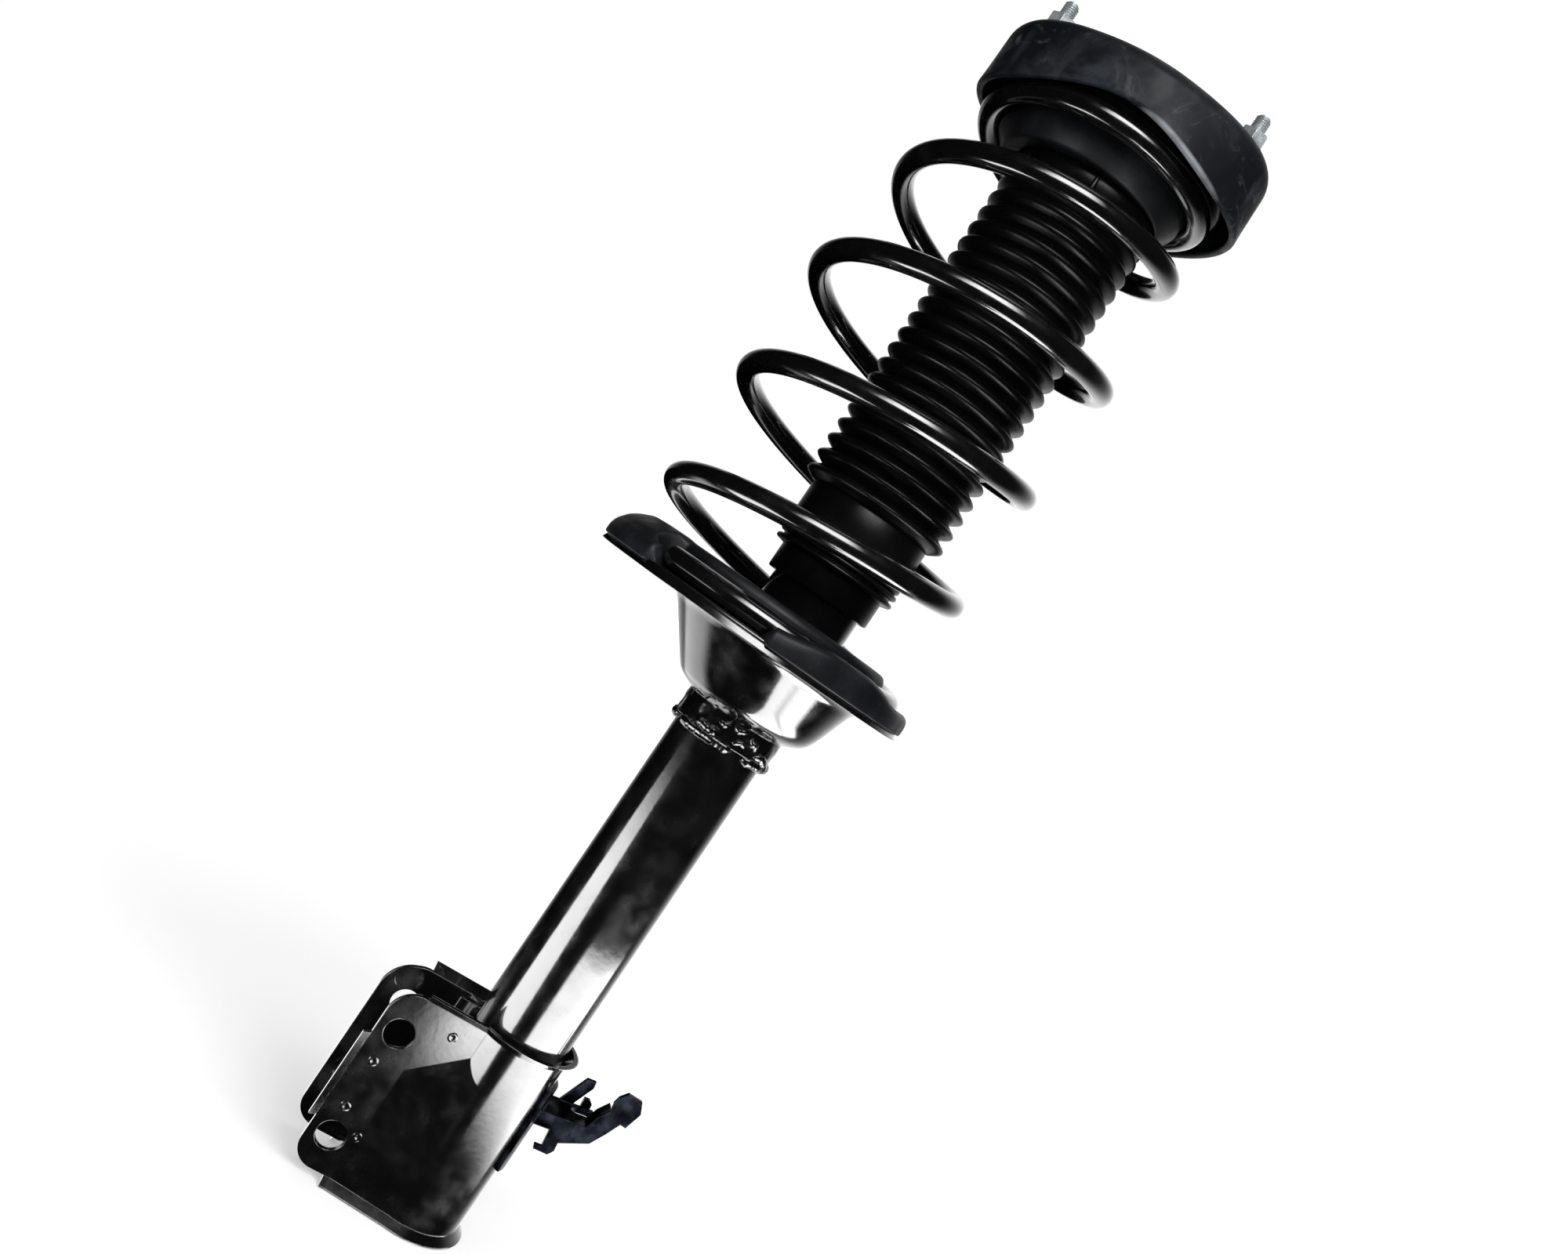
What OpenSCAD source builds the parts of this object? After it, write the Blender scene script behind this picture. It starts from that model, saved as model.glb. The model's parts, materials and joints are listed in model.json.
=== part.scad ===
// Coil-over rear strut: a three-stud upper mount, an offset coil spring, a twin-tube damper and a
// two-bolt knuckle bracket. Millimetres. The origin is on the rod axis, in the plane where the upper
// mount seats against the car body, with +Z up and -X towards the wheel knuckle. The strut is drawn
// at full extension.

/* [Travel] */
// Travel of the damper tube from full extension to the bump stop
travel = 150; // [120:1:165]
// Free length of the bump stop
bump_len = 90; // [70:1:100]
// Outer diameter of the bump stop at its bulges
bump_d = 48; // [40:1:54]

/* [Upper mount] */
// Radius of the mount housing between its lobes
shell_r = 73.5; // [73:0.5:82]
// How far each lobe reaches past that radius
lobe_reach = 6; // [5:0.5:12]
// Depth of the skirt at the lobes
skirt_depth = 38; // [32:1:44]
// How much shallower the skirt is between the two front lobes
skirt_scallop = 11; // [4:1:14]
// Radius of the rounded shoulder
shoulder_r = 10; // [8:1:12]
// Width of the lip turned in at the foot of the skirt
skirt_lip = 3.2; // [2.8:0.2:3.4]
// Sheet thickness of the mount housing
shell_wall = 2.8; // [2:0.1:3.4]
// Radius of the round opening over the rod nut
shell_opening_r = 24; // [21:0.5:28]
// Depth of the core's nut seat below the seating plane
nut_recess = 17; // [15:1:20]
// Length of the steel core through the rubber
core_len = 17; // [14:1:22]
// Outer diameter of the core's sleeve
core_d = 32; // [28:1:36]
// Diameter of the core's lower flange
core_flange_d = 56; // [46:1:64]

/* [Tower studs] */
// Pitch circle of the three studs
stud_pcd = 127; // [122:1:132]
// Direction of the first stud from +X
stud_angle = 70; // [60:1:80]
// Thread diameter of a stud
stud_d = 8; // [6:1:10]
// Height of a stud above the seating plane
stud_len = 17.4; // [14:0.2:26]
// Diameter of the stud's pressed-in head
stud_head_d = 15; // [12:0.5:16]
// Height of the flange nut on a stud
stud_nut_h = 8.4; // [6:0.2:10]
// Flange diameter of that nut
stud_nut_flange_d = 15.6; // [14:0.2:18]
// Width across the flats of that nut
stud_nut_af = 12.6; // [12:0.1:13.4]

/* [Piston rod] */
// Rod diameter
rod_d = 20; // [18:0.5:22]
// Diameter of the rod's upper thread
rod_thread_d = 14; // [12:0.5:16]
// Diameter of the rod's lower spigot, which carries the piston
rod_spigot_d = 12; // [10:0.5:13]
// Length of upper thread above its nut
rod_thread_free = 11; // [8:0.5:16]
// Height of the rod nut
rod_nut_h = 11; // [8:0.5:13]
// Width across the flats of the rod nut
rod_nut_af = 21; // [19:0.5:24]
// Diameter of the washer under the rod nut
rod_washer_d = 34; // [28:1:38]
// Thickness of that washer
rod_washer_t = 3; // [2:0.5:4]

/* [Coil spring] */
// Wire diameter
wire_d = 12; // [10:0.2:12.6]
// Mean radius of the lower turns
spring_r = 76.7; // [75:0.1:78]
// Mean radius of the turn that sits in the upper mount
spring_top_r = 60.5; // [60:0.1:62]
// Turns at full pitch
spring_turns = 3.57; // [3:0.01:3.8]
// Turns over which the pitch runs out at the top
spring_run_out = 1.5; // [1.2:0.05:1.6]
// How far the spring's lower end is offset from the rod axis
seat_offset = 17; // [14:0.5:18]
// How far its upper end is offset
spring_top_offset = 4.3; // [2:0.1:4.6]
// Cant of the turns and of the upper spring seat
spring_cant = 3; // [1:0.25:4]
// Cant of the lower spring seat
seat_cant = 1.25; // [0:0.25:3]

/* [Spring seats] */
// Drop of the upper seat's flange below the seating plane
upper_seat_drop = 15; // [13:0.5:18]
// Radius of the upper seat's flange
upper_seat_r = 69; // [67:0.5:70]
// Rubber between the upper seat and the spring, at the middle
isolator_t = 9; // [8:0.5:11]
// Sheet thickness of the seats
seat_wall = 2.5; // [2:0.1:3]
// Drop of the lower seated turn's wire below the top of the tube
seat_drop = 44; // [42:1:48]
// Radius of the lower seat's rim
seat_rim_r = 89; // [88:0.5:92]
// Height of the lower seat's rim
seat_rim_h = 5; // [4.5:0.5:7]
// Rubber under the seated turn
pad_t = 2.4; // [2:0.1:4]
// Radius at the top of the seat's funnel
funnel_top_r = 56; // [52:1:58]
// Offset of the top of the funnel from the rod axis
funnel_offset = 6; // [4:0.5:8]
// Radius at the shoulder of the funnel
funnel_shoulder_r = 41; // [37:1:44]
// Depth from the seat plate to the funnel's shoulder
funnel_h = 28; // [26:1:36]
// Height of the neck that is welded to the tube
neck_h = 13.5; // [8:0.5:16]

/* [Dust boot] */
// Number of bellows ribs
boot_ribs = 20; // [16:1:22]
// Outer radius of a rib
boot_crest_r = 41.5; // [41:0.5:44]
// Radius at the bottom of a groove
boot_root_r = 37; // [36:0.5:38]
// Wall thickness of the boot
boot_wall = 1.8; // [1.2:0.1:2]
// Length of the plain sleeve under the bellows
boot_sleeve_h = 26; // [20:1:34]
// Radius of that sleeve
boot_sleeve_r = 34.5; // [33:0.5:36]
// Radius of the collar that is clipped into the upper mount
boot_collar_r = 40.9; // [40:0.1:42]

/* [Damper] */
// Outer diameter of the strut tube
tube_d = 51; // [49:0.5:53]
// Wall of the strut tube
tube_wall = 2.5; // [2:0.1:3]
// Length of the strut tube
tube_len = 390; // [370:1:410]
// Bore of the pressure tube, which is the piston's diameter
piston_bore = 30; // [28:0.5:32]
// Wall of the pressure tube
pressure_wall = 2; // [1.5:0.1:2.5]
// Length of the piston
piston_len = 14; // [12:0.5:18]
// Length of the rebound stop
rebound_len = 12; // [8:0.5:16]
// Distance between the rebound stop and the piston
rebound_gap = 14; // [8:1:20]

/* [Knuckle bracket] */
// Overall height of the bracket
bracket_h = 108.5; // [104:0.5:114]
// How far the bracket reaches below the tube
bracket_overhang = 5; // [3:0.5:9]
// Sheet thickness of the bracket
bracket_t = 3; // [2.5:0.1:3.4]
// Width of the jaw that takes the knuckle
jaw_w = 36; // [34:0.5:37]
// Distance of the bolt holes from the rod axis
bolt_x = 56; // [54:0.5:58]
// Distance between the bolt holes
bolt_spacing = 60; // [56:0.5:63]
// Height of the lower bolt hole above the bracket's foot
bolt_rise = 23; // [21:0.5:25]
// Diameter of the bolt holes
bolt_hole_d = 15.4; // [12.2:0.1:16.4]
// Edge distance from the bolt holes to the jaw's mouth
bolt_edge = 12; // [11:0.5:14]
// How much further the rear flange reaches
rear_reach = 5; // [2:0.5:7]
// Height of the flared edges
flare_h = 4; // [3:0.5:5]
// How far the flared edges stand out
flare_out = 4.5; // [3:0.5:5.5]

/* [Hose bracket] */
// Sheet thickness of the hose bracket
hose_t = 2.5; // [2:0.1:3]
// Reach of the hose bracket's end pad from the rod axis
hose_reach = 68; // [64:1:76]
// Rise of the end pad above the arm
hose_rise = 15.5; // [12:0.5:20]
// Width of the arm's shelf
hose_shelf_w = 23; // [20:0.5:26]
// Width of the slot that holds the brake hose
hose_slot_w = 6.4; // [5:0.2:7]
// Height of the strap that is welded to the knuckle bracket
strap_h = 48; // [40:1:52]

/* [Hidden] */
$fn = 96;

// Clearances
weld_gap = 0.05;      // between pieces that are pressed or welded together
seat_gap = 0.3;       // between a soft or loose piece and its seat
run_gap = 0.04;       // radial clearance of a running fit
stop_gap = 0.5;       // left between the tube cap and the bump stop at the end of travel
far = 200;            // reach of a cutting tool past the part

// Upper mount, downwards from the seating plane
core_top = -nut_recess;
core_bottom = core_top - core_len;
core_flange_t = 3;
core_bore_r = rod_thread_d / 2 + 0.1;
cup_t = 2;
rod_shoulder = core_bottom - cup_t - 2 * weld_gap;
rod_nut_low = core_top + rod_washer_t + 2 * weld_gap;
rod_top = rod_nut_low + rod_nut_h + rod_thread_free;
stud_head_h = 3;
stud_knurl_r = stud_d / 2 + 0.25;    // shank that is pressed into the sheet
stud_engaged_r = stud_d / 2 - 0.35;  // pitch radius of the thread, where the nut is on it
seat_sleeve_r = stud_pcd / 2 - stud_head_d / 2 - 0.8;
isolator_hub_h = 36;
hub_bore_r = boot_collar_r + seat_gap;
shoulder_steps = 4;
skirt_draft = 0.8;
front_waist = stud_angle + 180;
rear_scallop = 0.45;   // scallop between the other lobes, as a share of the front one
cup_h = 12;
shell_sides = 72;

// Piston rod, bump stop and the top of the tube
bump_top = rod_shoulder - weld_gap;
bump_bottom = bump_top - bump_len;
cap_t = 1.5;
cap_top = bump_bottom - stop_gap - travel;
tube_top = cap_top - cap_t - weld_gap;
tube_r = tube_d / 2;
tube_bore_r = tube_r - tube_wall;
tube_bottom = tube_top - tube_len;
cap_skirt_h = 20;
cap_r = tube_r + weld_gap + cap_t;

// Damper internals
lip_t = 2.9;
seal_h = 6;
guide_h = 11;
spigot_h = 6;
seal_low = tube_top - lip_t - weld_gap - seal_h;
guide_low = seal_low - weld_gap - guide_h;
spigot_low = guide_low - spigot_h;
bush_wall = 1.9;
rebound_top = spigot_low - seat_gap;
piston_top = rebound_top - rebound_len - rebound_gap;
piston_low = piston_top - piston_len;
disc_h = 3;
piston_nut_h = 7;
rod_end = piston_low - disc_h - piston_nut_h - 2;
bore_r = piston_bore / 2;
base_t = 13;
base_top = tube_bottom + base_t;
valve_flange_h = 4;
valve_h = 11;

// Coil spring: the lower wire's plane, the upper wire's plane and the angles of the turns
wire_r = wire_d / 2;
spring_low = tube_top - seat_drop;
spring_high = -upper_seat_drop - isolator_t - seat_gap - wire_r;
seated_angle = 144;
lift_off = -56;
run_in = 100;
top_angle = 50;
knee = lift_off + run_in + 360 * spring_turns;
crest = knee + 360 * spring_run_out;
spring_start = -seated_angle;
spring_end = crest + top_angle;
rise_units = (knee - lift_off - run_in / 2) + (crest - knee) / 2;
ring_step = 15;
ring_count = ceil((spring_end - spring_start) / ring_step);
wire_sides = 6;

// Lower seat, in its own canted frame whose zero is the seated wire's plane
pad_top = -wire_r - seat_gap;
plate_top = pad_top - pad_t;
plate_low = plate_top - seat_wall;
rim_top = plate_top + 2;
rim_low = rim_top - seat_rim_h;
pad_hub_top = 11.5;     // wall inside the turn
pad_lip_top = 1.5;      // wall outside it
pad_front_top = 6.6;    // the same wall beside the cut-out
pad_skin = 2;
pad_cut = [216, 262];   // directions between which the pad is cut away
pad_block = 98;         // angle that the block takes behind the end of the wire
pad_front_sweep = 38;   // angle that the higher wall takes beside the cut-out
neck_r = tube_r + weld_gap + seat_wall;
funnel_low = spring_low + plate_low - funnel_h;
neck_top = funnel_low - 9;
neck_low = neck_top - neck_h;

// Boot, downwards
boot_top = core_bottom - cup_t - 10;
collar_low = boot_top - 17;
cuff_r = cap_r + 0.9 + boot_wall;
cuff_h = 14;
bead_h = 4.5;
boot_low = cap_top - cap_skirt_h;
sleeve_low = boot_low + cuff_h + 2 * bead_h;
sleeve_top = sleeve_low + boot_sleeve_h;
rib_pitch = (collar_low - sleeve_top) / boot_ribs;

// Bracket
bracket_foot = tube_bottom - bracket_overhang;
bracket_top = bracket_foot + bracket_h;
plate_foot = bracket_foot + flare_h;
plate_head = bracket_top - flare_h;
bolt_low_z = bracket_foot + bolt_rise;
bolt_high_z = bolt_low_z + bolt_spacing;
jaw_x = bolt_x + bolt_edge;
wrap_r = tube_r + weld_gap;
wrap_out_r = wrap_r + bracket_t;
slant_x = 18;
slant = [-0.867, 2.87, 1];
flat_x = bolt_x - 12;
flange_y = jaw_w / 2 + bracket_t;

// Hose bracket
strap_top = bracket_top - 16;
arm_z = strap_top - 11;
arm_tilt = 8;
arm_front = -14;
hose_slot_inset = 9.5;
hose_slot_len = 6;

// ---------------------------------------------------------------- helpers

// Ring with a square section between two radii and two heights
module ring(r_in, r_out, low, high)
    rotate_extrude()
        translate([r_in, low]) square([r_out - r_in, high - low]);

// Places its children at the three studs
module at_studs()
    for (i = [0 : 2])
        rotate([0, 0, stud_angle + 120 * i])
            translate([stud_pcd / 2, 0, 0]) children();

// Hexagon nut with chamfered corners, seated at z = 0
module hex_nut(af, h, bore_r) {
    corner_r = af / 2 / cos(30);
    difference() {
        intersection() {
            cylinder(r = corner_r, h = h, $fn = 6);
            cylinder(r1 = corner_r + h, r2 = af / 2, h = h + 0.6);
        }
        translate([0, 0, -1]) cylinder(r = bore_r, h = h + 2);
    }
}

// Frame of the lower spring seat
module seat_frame()
    translate([-seat_offset, 0, spring_low]) rotate([0, seat_cant, 0]) children();

function smooth(t) = let (u = max(0, min(1, t))) u * u * (3 - 2 * u);

// ---------------------------------------------------------------- upper mount

// 1 at a lobe, 0 midway between two lobes
function lobe(a) = (1 + cos(3 * (a - stud_angle))) / 2;
function scallop(a) = skirt_scallop * (rear_scallop + (1 - rear_scallop) * smooth(cos(a - front_waist)));
function skirt_z(a) = -skirt_depth + scallop(a) * (1 - lobe(a));
function rim_r(a) = shell_r + lobe_reach * pow(lobe(a), 2);

// Quarter-round stations, each [inset from the rim, height], for a shoulder of a sheet's face
function shoulder(r, inset, drop, steps) =
    [for (i = [0 : steps]) let (a = 90 * i / steps) [inset + r * (1 - sin(a)), -drop - r * (1 - cos(a))]];

// Closed section of the housing at the angle a, as [radius, height] points
function shell_section(a) =
    let (
        edge = rim_r(a),
        foot = skirt_z(a),
        inner_r = shoulder_r - shell_wall,
        outer = shoulder(shoulder_r, 0, 0, shoulder_steps),
        inner = shoulder(inner_r, shell_wall, shell_wall, shoulder_steps)
    )
    concat(
        [[shell_opening_r, 0]],
        [for (p = outer) [edge - p[0], p[1]]],
        [[edge + skirt_draft, foot],
         [edge - skirt_lip, foot],
         [edge - skirt_lip, foot + shell_wall],
         [edge + skirt_draft - shell_wall, foot + shell_wall]],
        [for (i = [shoulder_steps : -1 : 0]) [edge - inner[i][0], inner[i][1]]],
        [[shell_opening_r, -shell_wall]]
    );

// Skin of a closed section carried right round the axis
module revolved_skin(sections) {
    n = len(sections);
    m = len(sections[0]);
    points = [for (i = [0 : n - 1]) let (a = 360 * i / n)
                  for (p = sections[i]) [p[0] * cos(a), p[0] * sin(a), p[1]]];
    faces = [for (i = [0 : n - 1]) for (k = [0 : m - 1])
                 let (i2 = (i + 1) % n, k2 = (k + 1) % m)
                 for (f = [[i * m + k, i2 * m + k, i2 * m + k2], [i * m + k, i2 * m + k2, i * m + k2]]) f];
    polyhedron(points = points, faces = faces, convexity = 8);
}

module mount_housing()
    color("#2b2e33")
    difference() {
        revolved_skin([for (i = [0 : shell_sides - 1]) shell_section(360 * i / shell_sides)]);
        at_studs()
            translate([0, 0, -shell_wall - 1]) cylinder(r = stud_knurl_r + weld_gap, h = shell_wall + 2, $fn = 32);
    }

module tower_studs()
    color("#b9c2c9")
    at_studs() {
        tip = 1.2;
        nut_top = weld_gap + stud_nut_h;
        translate([0, 0, -shell_wall - weld_gap - stud_head_h]) cylinder(d = stud_head_d, h = stud_head_h);
        translate([0, 0, -shell_wall - 1]) cylinder(r = stud_knurl_r, h = shell_wall + 1);
        translate([0, 0, -1]) cylinder(r = stud_engaged_r, h = nut_top + 2);
        translate([0, 0, nut_top]) cylinder(d = stud_d, h = stud_len - tip - nut_top);
        translate([0, 0, stud_len - tip]) cylinder(d1 = stud_d, d2 = stud_d - 2 * tip, h = tip);
    }

module stud_nuts()
    color("#b9c2c9")
    at_studs()
        translate([0, 0, weld_gap]) difference() {
            union() {
                cylinder(d = stud_nut_flange_d, h = 1.4);
                translate([0, 0, 1.4])
                    cylinder(d1 = stud_nut_flange_d, d2 = stud_nut_af, h = 2);
                hex_nut(stud_nut_af, stud_nut_h, stud_engaged_r + weld_gap);
            }
            translate([0, 0, -1]) cylinder(r = stud_engaged_r + weld_gap, h = stud_nut_h + 2);
        }

module mount_rubber() {
    sleeve_out = core_d / 2 + weld_gap;
    wall_in = seat_sleeve_r - seat_wall - weld_gap;
    throat_r = hub_bore_r - 3;
    top = -shell_wall - weld_gap;
    color("#17181a")
    rotate_extrude()
        polygon([
            [shell_opening_r + 1, top],
            [wall_in, top],
            [wall_in, -upper_seat_drop + 2.5],
            [throat_r, -upper_seat_drop],
            [throat_r, core_bottom + core_flange_t + 7],
            [core_flange_d / 2, core_bottom + core_flange_t + weld_gap],
            [sleeve_out, core_bottom + core_flange_t + weld_gap],
            [sleeve_out, core_top - 3],
            [rod_washer_d / 2 + 1, core_top]
        ]);
}

module mount_core()
    color("#5c6268")
    union() {
        ring(core_bore_r, core_d / 2, core_bottom, core_top);
        ring(core_bore_r, core_flange_d / 2, core_bottom, core_bottom + core_flange_t);
    }

module rod_washer()
    color("#8e959b")
    ring(core_bore_r, rod_washer_d / 2, core_top + weld_gap, core_top + weld_gap + rod_washer_t);

module rod_nut()
    color("#a9b1b8")
    translate([0, 0, rod_nut_low]) hex_nut(rod_nut_af, rod_nut_h, rod_thread_d / 2 + weld_gap);

// Steel ring spot-welded under the housing: a sleeve round the rubber and a flange over the spring
module upper_spring_seat()
    color("#202224")
    union() {
        ring(seat_sleeve_r - seat_wall, seat_sleeve_r, -upper_seat_drop, -shell_wall - weld_gap);
        ring(seat_sleeve_r - seat_wall, upper_seat_r, -upper_seat_drop, -upper_seat_drop + seat_wall);
    }

// Rubber ring over the spring, wedge-shaped for its cant, with a hub that centres the top turn
module upper_isolator() {
    top = -upper_seat_drop - weld_gap;
    hub_r = spring_top_r - wire_r - 0.8;
    color("#17181a")
    difference() {
        translate([-spring_top_offset, 0, top - isolator_hub_h]) {
            translate([0, 0, isolator_hub_h - 13.5]) cylinder(r = spring_top_r + 7, h = 13.5);
            cylinder(r1 = hub_bore_r + spring_top_offset + 1.2, r2 = hub_r, h = 8);
            translate([0, 0, 8]) cylinder(r = hub_r, h = isolator_hub_h - 8);
        }
        translate([0, 0, top - isolator_hub_h - 1]) cylinder(r = hub_bore_r, h = isolator_hub_h + 2);
        translate([-spring_top_offset, 0, spring_high + wire_r + seat_gap])
            rotate([0, spring_cant, 0])
                translate([0, 0, -far]) difference() {
                    cylinder(r = far, h = far);
                    translate([0, 0, -1]) cylinder(r = hub_r, h = far + 2);
                }
    }
}

module bump_stop_cup() {
    wall_out = boot_collar_r - boot_wall - seat_gap - 0.2;
    color("#3a3d40")
    union() {
        ring(core_bore_r, wall_out, rod_shoulder + weld_gap, rod_shoulder + weld_gap + cup_t);
        ring(wall_out - 1.6, wall_out, rod_shoulder - cup_h, rod_shoulder + weld_gap + cup_t);
    }
}

// Foam bump stop: three bulges, tapering to the foot that meets the tube cap
module bump_stop() {
    waist = 3;
    steps = 24;
    bulges = 3;
    body_r = bump_d / 2;
    color("#8d8a5e")
    rotate_extrude()
        polygon(concat(
            [[rod_d / 2 + seat_gap, bump_top], [rod_d / 2 + seat_gap, bump_bottom]],
            [for (i = [0 : steps]) let (t = i / steps)
                [body_r - 5 * (1 - t) - waist * (1 + cos(360 * bulges * t)) / 2, bump_bottom + bump_len * t]]
        ));
}

// ---------------------------------------------------------------- piston rod

module piston_rod()
    color("#c9ced2")
    rotate_extrude()
        polygon([
            [0, rod_end],
            [rod_spigot_d / 2, rod_end],
            [rod_spigot_d / 2, piston_top],
            [rod_d / 2, piston_top],
            [rod_d / 2, rod_shoulder],
            [rod_thread_d / 2, rod_shoulder],
            [rod_thread_d / 2, rod_top - 1.5],
            [rod_thread_d / 2 - 1.5, rod_top],
            [0, rod_top]
        ]);

module rebound_stop()
    color("#4d4f52")
    ring(rod_d / 2 + weld_gap, bore_r - 1, rebound_top - rebound_len, rebound_top);

module piston() {
    bore = rod_spigot_d / 2 + weld_gap;
    color("#7f8488")
    difference() {
        ring(bore, bore_r - 0.4, piston_low, piston_top - weld_gap);
        ring(bore_r - 1, bore_r + 1, piston_low + 3, piston_top - 3);
        for (i = [0 : 5])
            rotate([0, 0, 60 * i])
                translate([(bore + bore_r) / 2, 0, piston_low - 1]) cylinder(r = 1.4, h = piston_len + 2, $fn = 24);
    }
}

module piston_band()
    color("#3c6e8f")
    ring(bore_r - 1 + weld_gap, bore_r - run_gap, piston_low + 3 + weld_gap, piston_top - 3 - weld_gap);

module piston_valve_discs()
    color("#9aa0a5")
    for (i = [0 : 2])
        ring(rod_spigot_d / 2 + weld_gap, bore_r - 2 - i,
             piston_low - disc_h * (i + 1) / 3 + weld_gap, piston_low - disc_h * i / 3 - weld_gap);

module piston_nut()
    color("#8e959b")
    translate([0, 0, piston_low - disc_h - piston_nut_h - weld_gap])
        hex_nut(bore_r * 1.2, piston_nut_h, rod_spigot_d / 2 + weld_gap);

// ---------------------------------------------------------------- boot and spring

// One wall of the boot, from the collar down to the cuff, moved inwards by inset
function boot_wall_line(inset) =
    concat(
        [[boot_collar_r - inset, boot_top], [boot_collar_r - inset, collar_low]],
        [for (i = [0 : boot_ribs - 1]) let (z = collar_low - rib_pitch * i)
            for (p = [[boot_root_r, z - 0.2 * rib_pitch], [boot_crest_r, z - 0.42 * rib_pitch],
                      [boot_crest_r, z - 0.7 * rib_pitch], [boot_root_r, z - 0.92 * rib_pitch]])
                [p[0] - inset, p[1]]],
        [[boot_sleeve_r - inset, sleeve_top], [boot_sleeve_r - inset, sleeve_low]],
        [for (i = [0 : 1]) let (z = sleeve_low - bead_h * i)
            for (p = [[boot_sleeve_r - 2.2, z - 1], [boot_sleeve_r + 0.5, z - 1.8],
                      [boot_sleeve_r + 0.5, z - 3.2], [boot_sleeve_r - 2.2, z - 4]])
                [p[0] - inset, p[1]]],
        [[cuff_r - inset, boot_low + cuff_h], [cuff_r - inset, boot_low]]
    );

module dust_boot() {
    outer = boot_wall_line(0);
    inner = boot_wall_line(boot_wall);
    color("#141516")
    rotate_extrude()
        polygon(concat(outer, [for (i = [len(inner) - 1 : -1 : 0]) inner[i]]));
}

// Height of the wire above the seated turn at the winding angle a, as a share of the free height
function spring_share(a) =
    (a <= lift_off ? 0
     : a < lift_off + run_in ? pow(a - lift_off, 2) / (2 * run_in)
     : a < knee ? a - lift_off - run_in / 2
     : a < crest ? a - lift_off - run_in / 2 - pow(a - knee, 2) / (2 * (crest - knee))
     : rise_units) / rise_units;
function turn_r(a) =
    spring_r - (spring_r - spring_top_r) * smooth((a - (crest - 780)) / 560);
function turn_x(a) =
    -seat_offset + (seat_offset - spring_top_offset) * smooth((a - (crest - 1080)) / 900);

function turn_cant(a) = seat_cant + (spring_cant - seat_cant) * smooth((a - lift_off) / 360);

// Centre of the wire at the winding angle a
function wire_at(a) =
    let (r = turn_r(a))
    [turn_x(a) + r * cos(a),
     r * sin(a),
     spring_low + (spring_high - spring_low) * spring_share(a) - tan(turn_cant(a)) * r * cos(a)];

wire_line = [for (i = [0 : ring_count])
                 wire_at(spring_start + (spring_end - spring_start) * i / ring_count)];
half_turn = floor(180 / ring_step);
spring_least_gap = min([for (i = [0 : ring_count - half_turn])
                            for (j = [i + half_turn : ring_count]) norm(wire_line[i] - wire_line[j])]) - wire_d;
echo(spring_least_gap = spring_least_gap);

module coil_spring() {
    points = [for (i = [0 : ring_count])
                  let (a = spring_start + (spring_end - spring_start) * i / ring_count)
                  for (k = [0 : wire_sides - 1])
                      let (b = 360 * (k + 0.5) / wire_sides)
                      wire_line[i] + wire_r * [cos(b) * cos(a), cos(b) * sin(a), sin(b)]];
    skin = [for (i = [0 : ring_count - 1]) for (k = [0 : wire_sides - 1])
                let (p = i * wire_sides + k, q = i * wire_sides + (k + 1) % wire_sides)
                for (f = [[p, p + wire_sides, q + wire_sides], [p, q + wire_sides, q]]) f];
    first_cap = [for (k = [0 : wire_sides - 1]) k];
    last_cap = [for (k = [wire_sides - 1 : -1 : 0]) ring_count * wire_sides + k];
    color("#0f1011")
    polyhedron(points = points, faces = concat(skin, [first_cap, last_cap]), convexity = 12);
}

// ---------------------------------------------------------------- damper

module strut_tube()
    color("#0d0e0f")
    rotate_extrude()
        polygon([
            [tube_bore_r, tube_bottom],
            [tube_r, tube_bottom],
            [tube_r, tube_top - 1.5],
            [tube_r - 1.5, tube_top],
            [rod_d / 2 + 4, tube_top],
            [rod_d / 2 + 4, tube_top - lip_t],
            [tube_bore_r, tube_top - lip_t]
        ]);

module tube_base() {
    r = tube_bore_r - weld_gap;
    color("#0d0e0f")
    rotate_extrude()
        polygon([
            [0, base_top],
            [r, base_top],
            [r, tube_bottom],
            [r - 3, tube_bottom],
            [r - 5, tube_bottom + 5],
            [0, tube_bottom + 7]
        ]);
}

module pressure_tube()
    color("#9aa0a5")
    ring(bore_r, bore_r + pressure_wall, base_top + valve_flange_h + 2 * weld_gap, guide_low - weld_gap);

module base_valve() {
    low = base_top + weld_gap;
    color("#7f8488")
    difference() {
        union() {
            ring(3, bore_r + pressure_wall, low, low + valve_flange_h);
            ring(3, bore_r - weld_gap, low, low + valve_flange_h + valve_h);
        }
        for (i = [0 : 3])
            rotate([0, 0, 90 * i])
                translate([bore_r * 0.62, 0, low - 1]) cylinder(r = 1.8, h = valve_flange_h + valve_h + 2, $fn = 24);
    }
}

module rod_guide() {
    bush_r = rod_d / 2 + run_gap + bush_wall + weld_gap;
    color("#8a8f93")
    union() {
        ring(bush_r, tube_bore_r - weld_gap, guide_low, guide_low + guide_h);
        ring(bush_r, bore_r - weld_gap, spigot_low, guide_low + guide_h);
    }
}

module guide_bush()
    color("#a8743c")
    ring(rod_d / 2 + run_gap, rod_d / 2 + run_gap + bush_wall, spigot_low + 0.5, guide_low + guide_h - 0.5);

module rod_seal()
    color("#26221f")
    difference() {
        ring(rod_d / 2 + run_gap, tube_bore_r - weld_gap, seal_low, seal_low + seal_h);
        ring(rod_d / 2 + 3, rod_d / 2 + 5, seal_low - 1, seal_low + 3);
    }

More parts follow.
